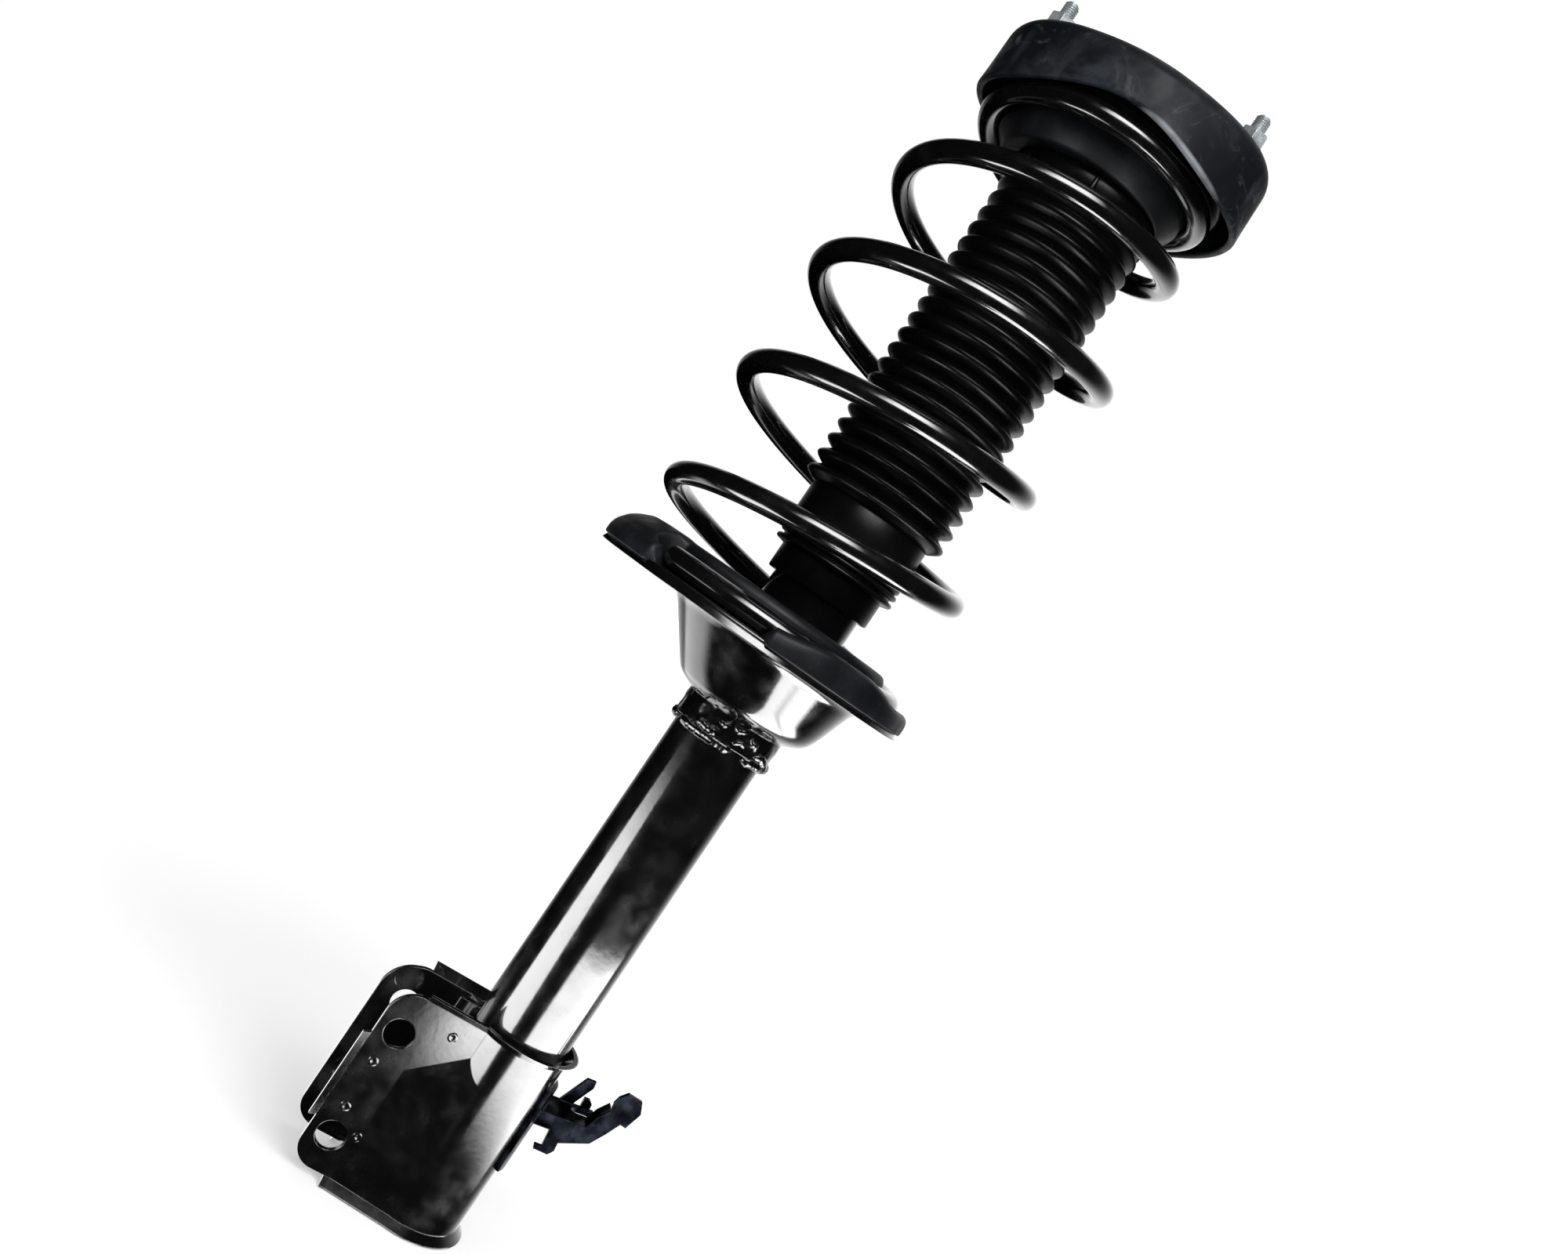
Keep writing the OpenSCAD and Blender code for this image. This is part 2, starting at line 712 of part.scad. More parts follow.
module tube_cap()
    color("#2a2c2e")
    union() {
        ring(rod_d / 2 + 2, cap_r, cap_top - cap_t, cap_top);
        ring(tube_r + weld_gap, cap_r, cap_top - cap_skirt_h, cap_top);
    }

// ---------------------------------------------------------------- lower spring seat

// Solid funnel under the seat plate, with every face moved inwards by inset
module funnel(inset) {
    r = funnel_shoulder_r - inset;
    hull() {
        funnel_mouth() cylinder(r = funnel_top_r - inset, h = 0.5, $fn = 64);
        translate([0, 0, funnel_low]) cylinder(r = r + 0.3, h = 0.5, $fn = 64);
    }
    translate([0, 0, funnel_low - 5]) cylinder(r1 = r - 4, r2 = r, h = 5);
    translate([0, 0, neck_top]) cylinder(r1 = neck_r - inset, r2 = r - 4, h = 4);
}

// Frame of the funnel's round mouth, whose zero is the underside of the seat plate
module funnel_mouth()
    translate([-funnel_offset, 0, spring_low + plate_low]) rotate([0, seat_cant, 0]) children();

module lower_spring_seat()
    color("#101112")
    difference() {
        union() {
            seat_frame() {
                translate([0, 0, plate_low]) cylinder(r = seat_rim_r, h = seat_wall);
                ring(seat_rim_r - seat_wall, seat_rim_r, rim_low, rim_top);
                rotate_extrude()
                    polygon([[seat_rim_r - seat_wall, rim_low], [seat_rim_r - seat_wall, rim_low + 3],
                             [seat_rim_r, rim_low + 3], [seat_rim_r + 1.5, rim_low]]);
            }
            funnel(0);
            translate([0, 0, neck_low]) cylinder(r = neck_r, h = neck_h + 0.5);
        }
        funnel(seat_wall);
        funnel_mouth() translate([0, 0, -1]) cylinder(r = funnel_top_r - seat_wall - 1, h = seat_wall + 2);
        translate([0, 0, neck_low - 1]) cylinder(r = tube_r + weld_gap, h = far);
    }

// Four runs of fillet weld between the neck and the tube
module seat_welds()
    color("#1b1c1d")
    for (i = [0 : 3])
        rotate([0, 0, 20 + 90 * i])
            rotate_extrude(angle = 74)
                difference() {
                    translate([tube_r + 0.6, neck_low - 1.2]) circle(r = 3.6, $fn = 32);
                    translate([0, neck_low - 10]) square([tube_r + weld_gap, 20]);
                    translate([0, neck_low - weld_gap]) square([tube_r + 20, 20]);
                }

// Rubber pad: a grooved ring that wraps the rim of the seat, with a block behind the end of the wire
// and a higher wall beside the cut-out at its front
module lower_isolator() {
    inner_r = spring_r - wire_r - 9;
    groove_in = spring_r - wire_r - 0.7;
    groove_out = spring_r + wire_r + 0.9;
    rim_in = seat_rim_r - seat_wall - weld_gap;
    skin_r = seat_rim_r + pad_skin;
    skin_low = rim_low + 3;
    floor_z = plate_top + weld_gap;
    color("#1c1d20")
    seat_frame() {
        difference() {
            rotate_extrude()
                polygon([
                    [inner_r, floor_z],
                    [inner_r, pad_hub_top - 2],
                    [inner_r + 2, pad_hub_top],
                    [groove_in - 2.5, pad_hub_top],
                    [groove_in, pad_hub_top - 3],
                    [groove_in, pad_top],
                    [groove_out, pad_top],
                    [groove_out, pad_lip_top],
                    [skin_r - 3.5, pad_lip_top],
                    [skin_r - 0.8, pad_lip_top - 2],
                    [skin_r, pad_lip_top - 5.5],
                    [skin_r, skin_low],
                    [seat_rim_r + weld_gap, skin_low],
                    [seat_rim_r + weld_gap, rim_top + weld_gap],
                    [rim_in, rim_top + weld_gap],
                    [rim_in, floor_z]
                ]);
            rotate_extrude(angle = pad_cut[1] - pad_cut[0], start = pad_cut[0])
                polygon([
                    [groove_out - 3, pad_top - 0.5],
                    [groove_out - 3, pad_lip_top + 1],
                    [skin_r + 5, pad_lip_top + 1],
                    [skin_r + 5, rim_low - 5],
                    [seat_rim_r - seat_wall / 2, rim_low - 5],
                    [seat_rim_r - seat_wall / 2, pad_top - 0.5]
                ]);
        }
        rotate_extrude(angle = pad_block, start = pad_cut[0] - 1.2 - pad_block)
            polygon([
                [inner_r + 0.6, pad_top - 0.15],
                [inner_r + 0.6, pad_hub_top - 1.6],
                [inner_r + 3.5, pad_hub_top + 0.7],
                [spring_r - 2, pad_hub_top],
                [spring_r + 4, pad_hub_top - 2.8],
                [groove_out + 2.4, 5],
                [skin_r - 1.5, 0.5],
                [skin_r - 0.35, -3.5],
                [skin_r - 0.35, pad_top - 0.15]
            ]);
        rotate_extrude(angle = pad_front_sweep, start = pad_cut[1] + 0.4)
            polygon([
                [groove_out + 0.4, -3],
                [groove_out + 0.4, pad_front_top - 1],
                [groove_out + 1.6, pad_front_top],
                [skin_r - 3, pad_front_top],
                [skin_r - 0.9, pad_front_top - 3],
                [skin_r - 0.4, -3]
            ]);
    }
}

// ---------------------------------------------------------------- knuckle bracket

// Half plan of the sheet's outer face where it bulges below the upper bolt, moved inwards by inset.
// Its slanted wall runs from the straight flange just into the wrap, at an angle of 5 degrees to it.
module bulged_plan(inset) {
    y = flange_y - inset;
    r = wrap_out_r - inset;
    start = [-flat_x, y];
    touch = atan2(start[1], start[0]) - acos(r / norm(start)) - 5;
    end = (r - 0.3) * [cos(touch), sin(touch)];
    polygon([start - [1, y], start - [1, 0], start, end, [0, 0]]);
}

// Everything under the slanted face that joins the flat flange to the bulge
module under_slant(inset) {
    tilt = acos(slant[2] / norm(slant));
    turn = atan2(slant[1], slant[0]);
    translate([-slant_x, flange_y, bolt_high_z + 8])
        rotate([0, tilt, turn]) translate([-far, -far, -2 * far - inset]) cube(2 * far);
}

// Half section of the wrapped solid, half wide, flared at both ends; over lengthens it there
function flared_half(half, over) =
    let (flare = flare_out * (1 + over / flare_h))
    [[0, bracket_foot - over], [half + flare, bracket_foot - over], [half, plate_foot],
     [half, plate_head], [half + flare, bracket_top + over], [0, bracket_top + over]];

// Solid that the sheet wraps, with its faces moved inwards by inset
module wrapped_solid(inset, over) {
    rotate_extrude() polygon(flared_half(wrap_out_r - inset, over));
    for (side = [0, 1])
        mirror([0, side, 0]) {
            translate([-far, 0, 0]) rotate([90, 0, 90]) linear_extrude(far)
                polygon(flared_half(flange_y - inset, over));
            intersection() {
                translate([0, 0, plate_foot - 1])
                    linear_extrude(plate_head - plate_foot) bulged_plan(inset);
                under_slant(inset);
            }
            hull() {
                translate([0, 0, plate_foot - 0.01]) linear_extrude(0.01) bulged_plan(inset);
                translate([0, 0, bracket_foot - over]) linear_extrude(0.01)
                    bulged_plan(inset - flare_out * (1 + over / flare_h));
            }
        }
}

// Side view of a flange: round corners at the bolts, and the flared head between them and the wrap
module flange_outline() {
    top_r = 14;
    foot_r = 12;
    translate([-jaw_x, plate_foot + foot_r])
        square([jaw_x + far, plate_head - plate_foot - top_r - foot_r]);
    translate([-jaw_x + foot_r, plate_foot]) square([jaw_x + far - foot_r, foot_r + 1]);
    translate([-jaw_x + top_r, plate_head - top_r - 1]) square([jaw_x + far - top_r, top_r + 1]);
    translate([-jaw_x + foot_r, plate_foot + foot_r]) circle(r = foot_r);
    translate([-jaw_x + top_r, plate_head - top_r]) circle(r = top_r);
    translate([-jaw_x + top_r + 1, plate_head - 1]) square([jaw_x + far, flare_h + 2]);
    translate([-jaw_x + foot_r + 8, bracket_foot - 1]) square([jaw_x + far, flare_h + 2]);
}

// Side view of the rear flange's further reach
module rear_outline() {
    top_r = 18;
    foot_r = 12;
    low = plate_foot + 0.7;
    high = plate_head - 0.7;
    reach = jaw_x + rear_reach;
    translate([-reach, low + foot_r]) square([reach - bolt_x, high - low - top_r - foot_r]);
    translate([-reach + foot_r, low]) square([reach - bolt_x + 10, foot_r + 1]);
    translate([-reach + top_r, high - top_r - 1]) square([reach - bolt_x + 10, top_r + 1]);
    translate([-reach + foot_r, low + foot_r]) circle(r = foot_r);
    translate([-reach + top_r, high - top_r]) circle(r = top_r);
}

// Turned-out tab between the bolts of the front flange, at the mouth of the jaw
module mouth_tab() {
    reach = 4;
    splay = 3.5;
    mirror([0, 1, 0])
        translate([-jaw_x, flange_y, bolt_low_z + 6])
            linear_extrude(bolt_spacing - 12)
                polygon([[0.5, -bracket_t / 2], [0, 0], [-reach, splay],
                         [-reach, splay - bracket_t], [0, -bracket_t]]);
}

module knuckle_bracket()
    color("#121314")
    difference() {
        union() {
            intersection() {
                difference() {
                    wrapped_solid(0, 0);
                    wrapped_solid(bracket_t, 1);
                }
                rotate([90, 0, 0]) translate([0, 0, -far]) linear_extrude(2 * far) flange_outline();
            }
            translate([0, flange_y, 0]) rotate([90, 0, 0]) linear_extrude(bracket_t) rear_outline();
            mouth_tab();
        }
        for (z = [bolt_low_z, bolt_high_z])
            translate([-bolt_x, 0, z]) rotate([90, 0, 0]) translate([0, 0, -far / 2])
                cylinder(d = bolt_hole_d, h = far);
        translate([wrap_r - 3, 0, bracket_foot + 29]) rotate([0, 90, 0]) cylinder(d = 7, h = 12, $fn = 32);
    }

// Saddle that closes the jaw round the tube, welded between the flanges
module bracket_inner_plate() {
    low = plate_foot + 3;
    h = plate_head - plate_foot - 6;
    half = jaw_w / 2 - weld_gap;
    t = 2.5;
    leg_x = 34;
    color("#17181a")
    translate([0, 0, low])
        linear_extrude(h)
            difference() {
                union() {
                    intersection() {
                        circle(r = wrap_r + t);
                        translate([-far, -half + t / 4]) square([far, 2 * half - t / 2]);
                    }
                    for (y = [-half, half - t])
                        translate([-leg_x, y]) square([leg_x, t]);
                }
                circle(r = wrap_r);
            }
}

// ---------------------------------------------------------------- hose bracket

// Frame of the arm: x outwards from the wrap, z = 0 in the arm's top face
module arm_frame()
    translate([wrap_out_r, 0, arm_z]) rotate([0, -arm_tilt, 0]) children();

// Plate in the arm's side plane whose front face lies at y
module arm_side(y)
    translate([0, y + hose_t, 0]) rotate([90, 0, 0]) linear_extrude(hose_t) children();

// Front web of the arm: a hooked tab hangs from it, and it rises to the end pad
module hose_web() {
    pad = [hose_reach - wrap_out_r, hose_rise];
    polygon(concat(
        [[-6, 0], [pad[0] - 15.4, 0], [pad[0] - 11.8, 7]],
        [for (p = [[-7, -2.7], [-7.5, 1.2], [-6, 5], [-2.2, 8.5], [5.9, 7], [8, 0.7], [3.7, -8.8], [0.5, -8]]) pad + p],
        [[pad[0] - 4, 0.5], [pad[0] - 10, -7.5], [14.5, -13], [14.5, -17.5], [12, -20.5],
         [4, -20], [3.5, -17.5], [7.5, -17.5], [7.5, -8], [-6, -8]]
    ));
}

// Shelf of the arm, in plan, with the slot that holds the brake hose
module hose_shelf() {
    low_y = arm_front;
    high_y = arm_front + hose_shelf_w;
    end_x = hose_reach - wrap_out_r - 10;
    slot_y = (low_y + high_y) / 2 + 3.8;
    slot_r = hose_slot_w / 2;
    slot_x = end_x - hose_slot_inset;
    difference() {
        polygon([[-6, low_y], [end_x - 3, low_y], [end_x, low_y + 6], [end_x, high_y], [-6, high_y]]);
        translate([slot_x, slot_y - slot_r]) square([hose_slot_len, hose_slot_w]);
        for (x = [slot_x, slot_x + hose_slot_len])
            translate([x, slot_y]) circle(r = slot_r, $fn = 32);
    }
}

module hose_bracket() {
    far_y = arm_front + hose_shelf_w - hose_t;
    pad_x = hose_reach - wrap_out_r;
    color("#1e2024")
    union() {
        rotate([0, 0, -34])
            rotate_extrude(angle = 58)
                translate([wrap_out_r + weld_gap, strap_top - strap_h]) square([hose_t, strap_h]);
        difference() {
            arm_frame() {
                arm_side(arm_front) hose_web();
                translate([0, 0, -hose_t]) linear_extrude(hose_t) hose_shelf();
                arm_side(far_y) polygon([[9.5, -1], [16.5, -1], [24, 12], [24, 15.5], [19, 15.5]]);
                arm_side(far_y) polygon([[21.5, -1], [27, -1], [27, 3.5], [25, 5.5], [22, 5.5]]);
                translate([0, arm_front + 10, 0]) rotate([90, 0, 0]) linear_extrude(9)
                    polygon([[pad_x - 15.4, 0], [pad_x - 11.8, 7], [pad_x - 7, 12.5], [pad_x - 5.5, 11],
                             [pad_x - 10.3, 5.5], [pad_x - 13.4, -1]]);
            }
            translate([0, 0, arm_z - far]) cylinder(r = wrap_out_r + hose_t / 2, h = 2 * far);
        }
    }
}

// ---------------------------------------------------------------- nodes

mount_housing();
tower_studs();
stud_nuts();
mount_rubber();
mount_core();
rod_washer();
rod_nut();
upper_spring_seat();
upper_isolator();
bump_stop_cup();
bump_stop();
piston_rod();
rebound_stop();
piston();
piston_band();
piston_valve_discs();
piston_nut();
dust_boot();
coil_spring();
strut_tube();
tube_base();
pressure_tube();
base_valve();
rod_guide();
guide_bush();
rod_seal();
tube_cap();
lower_spring_seat();
seat_welds();
lower_isolator();
knuckle_bracket();
bracket_inner_plate();
hose_bracket();
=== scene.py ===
"""Coil-over rear strut: finishes, soft and wound pieces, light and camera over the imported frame.

Metres, in the frame of the part: the origin is on the rod axis in the seating plane, +Z is up and
-X points to the wheel knuckle.
"""
import json
import math

import bpy
from mathutils import Matrix, Vector, noise
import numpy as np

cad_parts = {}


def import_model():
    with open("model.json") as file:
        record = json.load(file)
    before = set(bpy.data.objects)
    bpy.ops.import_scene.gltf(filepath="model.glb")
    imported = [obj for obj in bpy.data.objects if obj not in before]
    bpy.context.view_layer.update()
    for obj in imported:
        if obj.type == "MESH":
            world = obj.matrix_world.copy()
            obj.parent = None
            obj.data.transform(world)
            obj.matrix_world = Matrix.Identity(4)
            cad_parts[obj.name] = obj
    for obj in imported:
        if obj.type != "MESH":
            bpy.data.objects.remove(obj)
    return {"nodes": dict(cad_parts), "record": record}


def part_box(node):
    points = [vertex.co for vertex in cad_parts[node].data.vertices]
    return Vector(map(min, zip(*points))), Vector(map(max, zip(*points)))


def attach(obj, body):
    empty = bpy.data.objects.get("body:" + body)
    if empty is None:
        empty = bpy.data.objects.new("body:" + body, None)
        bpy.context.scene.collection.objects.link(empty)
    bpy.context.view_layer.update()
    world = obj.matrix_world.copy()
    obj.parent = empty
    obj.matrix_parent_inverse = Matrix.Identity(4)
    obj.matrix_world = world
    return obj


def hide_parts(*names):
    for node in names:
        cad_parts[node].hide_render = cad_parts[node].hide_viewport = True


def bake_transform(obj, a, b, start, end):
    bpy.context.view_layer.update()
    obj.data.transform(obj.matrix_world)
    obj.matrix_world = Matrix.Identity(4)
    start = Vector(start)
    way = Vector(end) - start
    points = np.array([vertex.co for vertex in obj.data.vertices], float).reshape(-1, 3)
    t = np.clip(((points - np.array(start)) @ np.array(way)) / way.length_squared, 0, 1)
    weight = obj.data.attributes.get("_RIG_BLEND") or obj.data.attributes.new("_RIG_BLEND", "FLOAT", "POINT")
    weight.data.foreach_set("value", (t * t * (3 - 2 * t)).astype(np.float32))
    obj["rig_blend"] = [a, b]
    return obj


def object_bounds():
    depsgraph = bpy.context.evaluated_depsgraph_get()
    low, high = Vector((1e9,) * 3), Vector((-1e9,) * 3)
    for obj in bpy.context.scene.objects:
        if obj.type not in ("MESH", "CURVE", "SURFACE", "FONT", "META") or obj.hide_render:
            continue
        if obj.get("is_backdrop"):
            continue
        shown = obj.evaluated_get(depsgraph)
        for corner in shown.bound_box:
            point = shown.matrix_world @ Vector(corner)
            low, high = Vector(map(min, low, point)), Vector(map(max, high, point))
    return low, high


MM = 0.001
PAINTED_SKIRT_HIGHLIGHT = "painted_skirt_highlight"     # attribute of the housing, 1 along the front stretch of its skirt's edge, where a highlight is painted in

# Camera: where the picture was taken from, and how it was held
CAMERA_PLACE = Vector((-0.172, -0.7195, -0.318))
CAMERA_BEARING = math.radians(257)     # direction from the strut to the camera, from +X
CAMERA_ROLL = math.radians(34)
CAMERA_LENS = 33.07        # millimetres, like the width of the sensor
SENSOR_WIDTH = 36.0
CAMERA_SHIFT = -0.0016     # share of the sensor's width; below zero it looks lower

# Sizes shared with the solids: pressed housing of the mount
SHELL_R = 73.5 * MM
LOBE_REACH = 6 * MM
SKIRT_DEPTH = 38 * MM
SKIRT_SCALLOP = 11 * MM
REAR_SCALLOP = 0.45     # scallop between the other lobes, as a share of the front one
SHOULDER_R = 10 * MM
SKIRT_LIP = 3.2 * MM
SKIRT_DRAFT = 0.8 * MM
SHELL_WALL = 2.8 * MM
SHELL_OPENING_R = 24 * MM

# Studs, rod and core
STUD_ANGLE = 70         # degrees from +X
STUD_RING_R = 63.5 * MM
STUD_R = 4 * MM
STUD_HEAD_R = 7.5 * MM
STUD_HEAD_H = 3 * MM
STUD_THREAD_PITCH = 1.25 * MM
STUD_THREAD_DEPTH = 0.6 * MM
ROD_R = 10 * MM
ROD_THREAD_R = 7 * MM
ROD_THREAD_PITCH = 1.5 * MM
ROD_THREAD_DEPTH = 0.8 * MM
ROD_SPIGOT_R = 6 * MM
ROD_WASHER_H = 3 * MM
CORE_R = 16 * MM
CORE_FLANGE_R = 28 * MM
CORE_FLANGE_H = 3 * MM
CUP_WALL = 2 * MM

# Coil spring; SEATED_ANGLE and the five values after it are degrees along its wire
WIRE_R = 6 * MM
SPRING_R = 76.7 * MM
SPRING_TOP_R = 60.5 * MM
SEAT_OFFSET = 17 * MM
SPRING_TOP_OFFSET = 4.3 * MM
CANT = math.radians(3)
SEAT_CANT = math.radians(1.25)
FREE_TURNS = 3.57
RUN_OUT_TURNS = 1.5
SEATED_ANGLE = 144
LIFT_OFF = -56
RUN_IN = 100
KNEE = LIFT_OFF + RUN_IN + 360 * FREE_TURNS
CREST = KNEE + 360 * RUN_OUT_TURNS
TOP_ANGLE = 50

# Spring seats and their rubbers
ISOLATOR_CROWN = 9 * MM
ISOLATOR_HUB_H = 36 * MM
SEAT_DROP = 44 * MM     # from the end of the tube down to the seated turn
SEAT_WALL = 2.5 * MM
SEAT_RIM_R = 89 * MM
SEAT_RIM_H = 5 * MM
SEAT_RIM_LIFT = 2 * MM
PAD_WALL = 2.4 * MM
FUNNEL_TOP_R = 56 * MM
FUNNEL_OFFSET = 6 * MM
FUNNEL_SHOULDER_R = 41 * MM
FUNNEL_H = 28 * MM
SHOULDER_H = 9 * MM
NECK_H = 13.5 * MM

# Boot, bump stop and the gaps between pieces
BOOT_RIBS = 20
BOOT_CREST_R = 41.5 * MM
BOOT_COLLAR_R = 40.9 * MM
BOOT_SLEEVE_R = 34.5 * MM
BOOT_SLEEVE_H = 26 * MM
BOOT_CUFF_R = 29.8 * MM
BOOT_WALL = 1.8 * MM
BUMP_R = 24 * MM
SEAT_GAP = 0.3 * MM
WELD_GAP = 0.05 * MM

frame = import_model()
cad_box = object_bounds()
scene = bpy.context.scene

# Corners of nodes in the frame, and what follows from them
TUBE_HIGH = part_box("strut_tube")[1]
BOOT_LOW, BOOT_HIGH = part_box("dust_boot")
BUMP_LOW, BUMP_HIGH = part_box("bump_stop")
ROD_LOW, ROD_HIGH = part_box("piston_rod")
PISTON_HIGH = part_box("piston")[1]
CORE_LOW, CORE_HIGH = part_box("mount_core")
UPPER_SEAT_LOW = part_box("upper_spring_seat")[0]
STUD_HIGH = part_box("tower_studs")[1]
TUBE_R = TUBE_HIGH[0]
SPRING_LOW = TUBE_HIGH[2] - SEAT_DROP
SPRING_HIGH = UPPER_SEAT_LOW[2] - ISOLATOR_CROWN - SEAT_GAP - WIRE_R


# ------ shaders

class Nodes:
    """The node tree of a material or a world, with short calls to build it."""

    def __init__(self, owner):
        owner.use_nodes = True
        self.tree = owner.node_tree

    def add(self, kind, inputs=None, **settings):
        """New node with the given settings and inputs."""
        node = self.tree.nodes.new(kind)
        for key, value in settings.items():
            setattr(node, key, value)
        self.fill(node, inputs or {})
        return node

    def fill(self, node, inputs):
        """Give each named or numbered input of a node its value, or link it to another node's output."""
        for key, value in inputs.items():
            if isinstance(value, bpy.types.NodeSocket):
                self.tree.links.new(value, node.inputs[key])
            else:
                node.inputs[key].default_value = value

    def span(self, value, low, high, to_low=0.0, to_high=1.0, kind="SMOOTHSTEP"):
        """Step from one value at the low end of the range to another at its high end."""
        inputs = {"Value": value, "From Min": low, "From Max": high, "To Min": to_low, "To Max": to_high}
        return self.add("ShaderNodeMapRange", inputs, interpolation_type=kind).outputs["Result"]

    def math(self, kind, a, b):
        return self.add("ShaderNodeMath", {0: a, 1: b}, operation=kind).outputs["Value"]


class Shader(Nodes):
    """A Principled material with short calls for the procedural layers that feed it."""

    def __init__(self, name, color, roughness, metallic=0.0, coat=0.0):
        self.material = bpy.data.materials.new(name)
        super().__init__(self.material)
        self.material.diffuse_color = (*color, 1)
        self.main = self.tree.nodes["Principled BSDF"]
        self.fill(self.main, {"Base Color": (*color, 1), "Roughness": roughness, "Metallic": metallic,
                              "Coat Weight": coat})
        self.place = self.add("ShaderNodeTexCoord").outputs["Object"]

    def feed(self, socket, value):
        self.fill(self.main, {socket: value})

    def noise(self, scale, detail=3.0, roughness=0.55, stretch=None, distortion=0.0):
        place = self.place
        if stretch:
            mapping = self.add("ShaderNodeMapping", {"Vector": place, "Scale": stretch})
            place = mapping.outputs["Vector"]
        inputs = {"Vector": place, "Scale": scale, "Detail": detail, "Roughness": roughness,
                  "Distortion": distortion}
        return self.add("ShaderNodeTexNoise", inputs).outputs["Fac"]

    def cells(self, scale):
        return self.add("ShaderNodeTexVoronoi", {"Vector": self.place, "Scale": scale}).outputs["Distance"]

    def height(self, low, high):
        """0 below one height in the frame of the part and 1 above another."""
        split = self.add("ShaderNodeSeparateXYZ", {"Vector": self.place})
        return self.span(split.outputs["Z"], low, high)

    def blend(self, share, a, b):
        """Mix of two colours, each of them a tuple or the output of a node."""
        a, b = ((*c, 1) if isinstance(c, tuple) else c for c in (a, b))
        return self.add("ShaderNodeMix", {"Factor": share, 6: a, 7: b}, data_type="RGBA").outputs[2]

    def rounded_edges(self, radius):
        """Normal with every sharp edge of the solid rounded to the radius."""
        return self.add("ShaderNodeBevel", {"Radius": radius}, samples=4).outputs["Normal"]

    def edge_mask(self, radius):
        """1 along the edges of the solid and 0 on its faces."""
        flat = self.add("ShaderNodeNewGeometry").outputs["Normal"]
        inputs = {0: self.rounded_edges(radius), 1: flat}
        product = self.add("ShaderNodeVectorMath", inputs, operation="DOT_PRODUCT")
        return self.span(product.outputs["Value"], 0.995, 0.9)

    def bump(self, height, depth, normal=None):
        """Relief of the surface under its coat and of the coat; normal is what the relief is laid on."""
        inputs = {"Strength": 1.0, "Distance": depth, "Height": height}
        if normal:
            inputs["Normal"] = normal
        relief = self.add("ShaderNodeBump", inputs).outputs["Normal"]
        self.feed("Normal", relief)
        self.feed("Coat Normal", relief)


def gloss_paint(name, color, peel, peel_depth, edge_r):
    """Thick gloss black: orange peel, faint dust, and corners that the paint rounds."""
    s = Shader(name, color, 0.2, coat=1.0)
    s.feed("Coat IOR", 1.7)
    dust = s.span(s.noise(38, detail=6), 0.52, 0.8)
    s.feed("Base Color", s.blend(dust, color, tuple(c * 2.2 + 0.002 for c in color)))
    s.feed("Roughness", s.span(s.noise(90, detail=4), 0.3, 0.75, 0.14, 0.3))
    long_waves = s.math("MULTIPLY", s.noise(peel * 0.22, detail=2), 2.5)
    waves = s.math("ADD", s.noise(peel, detail=1), long_waves)
    s.bump(waves, peel_depth, s.rounded_edges(edge_r))
    return s.material


def satin_steel():
    """Dip-coated pressed steel. On the mount it is matt and has blue-grey smudges and wisps, rubbed edges
    and a painted highlight along the front of the skirt's edge; on the small pressing low on the strut it is
    darker, glossier and a little wavy, with edges lightened partly as rubbed paint and partly as painted
    highlight."""
    dark, smudge, wisp = (0.0055, 0.0063, 0.0085), (0.032, 0.037, 0.046), (0.068, 0.078, 0.082)
    # the second colour here is not bare steel but the pale grey of the highlight painted along the front of
    # the skirt's edge
    rubbed, bare = (0.06, 0.066, 0.075), (0.3, 0.32, 0.34)
    low_dark, low_pale = (0.0016, 0.0018, 0.0027), (0.0052, 0.006, 0.0082)
    # lighter edges of the small pressing: partly rubbed paint and partly a painted highlight along its folds
    low_edge_wear_and_highlight = (0.016, 0.018, 0.023)
    low_waves = 150.0       # height of the waves, in units of the tooth's
    s = Shader("satin_steel", dark, 0.42)
    s.feed("Specular IOR Level", 0.12)
    patches = s.span(s.noise(17, detail=7, roughness=0.62, distortion=0.6), 0.42, 0.68)
    streaks = s.span(s.noise(46, detail=5, stretch=(1, 1, 0.35)), 0.55, 0.78)
    base = s.blend(s.math("MAXIMUM", patches, streaks), dark, smudge)
    wisps = s.span(s.noise(30, detail=8, roughness=0.65, distortion=2.4), 0.55, 0.72, 0.0, 0.8)
    base = s.blend(wisps, base, wisp)
    edge = s.math("MULTIPLY", s.edge_mask(1.2 * MM), s.span(s.noise(160, detail=4), 0.35, 0.65))
    on_mount = s.height(-300 * MM, -290 * MM)       # 0 on the small pressing and 1 on the mount
    skirt = s.add("ShaderNodeAttribute", attribute_name=PAINTED_SKIRT_HIGHLIGHT).outputs["Fac"]
    # painted highlight: a pale grey line along the skirt's edge on the side that faces the camera
    highlight_mask = s.math("MULTIPLY", s.span(skirt, 0.72, 0.94), s.span(s.noise(70, detail=4), 0.3, 0.6, 0.4, 1.0))
    base = s.blend(highlight_mask, s.blend(edge, base, rubbed), bare)
    low_coat = s.blend(s.span(s.noise(130, detail=6), 0.38, 0.66), low_dark, low_pale)
    s.feed("Base Color", s.blend(on_mount, s.blend(edge, low_coat, low_edge_wear_and_highlight), base))
    s.feed("Metallic", s.span(on_mount, 0, 1, 1.0, 0.0))
    gloss = s.span(s.noise(60, detail=5), 0.3, 0.7, 0.34, 0.55)
    s.feed("Roughness", s.math("MULTIPLY", gloss, s.span(on_mount, 0, 1, 0.5, 1.0)))
    waves = s.math("MULTIPLY", s.noise(46, detail=1), s.span(on_mount, 0, 1, low_waves, 0.0))
    s.bump(s.math("ADD", s.noise(900, detail=3), waves), 0.02 * MM, s.rounded_edges(0.8 * MM))
    return s.material


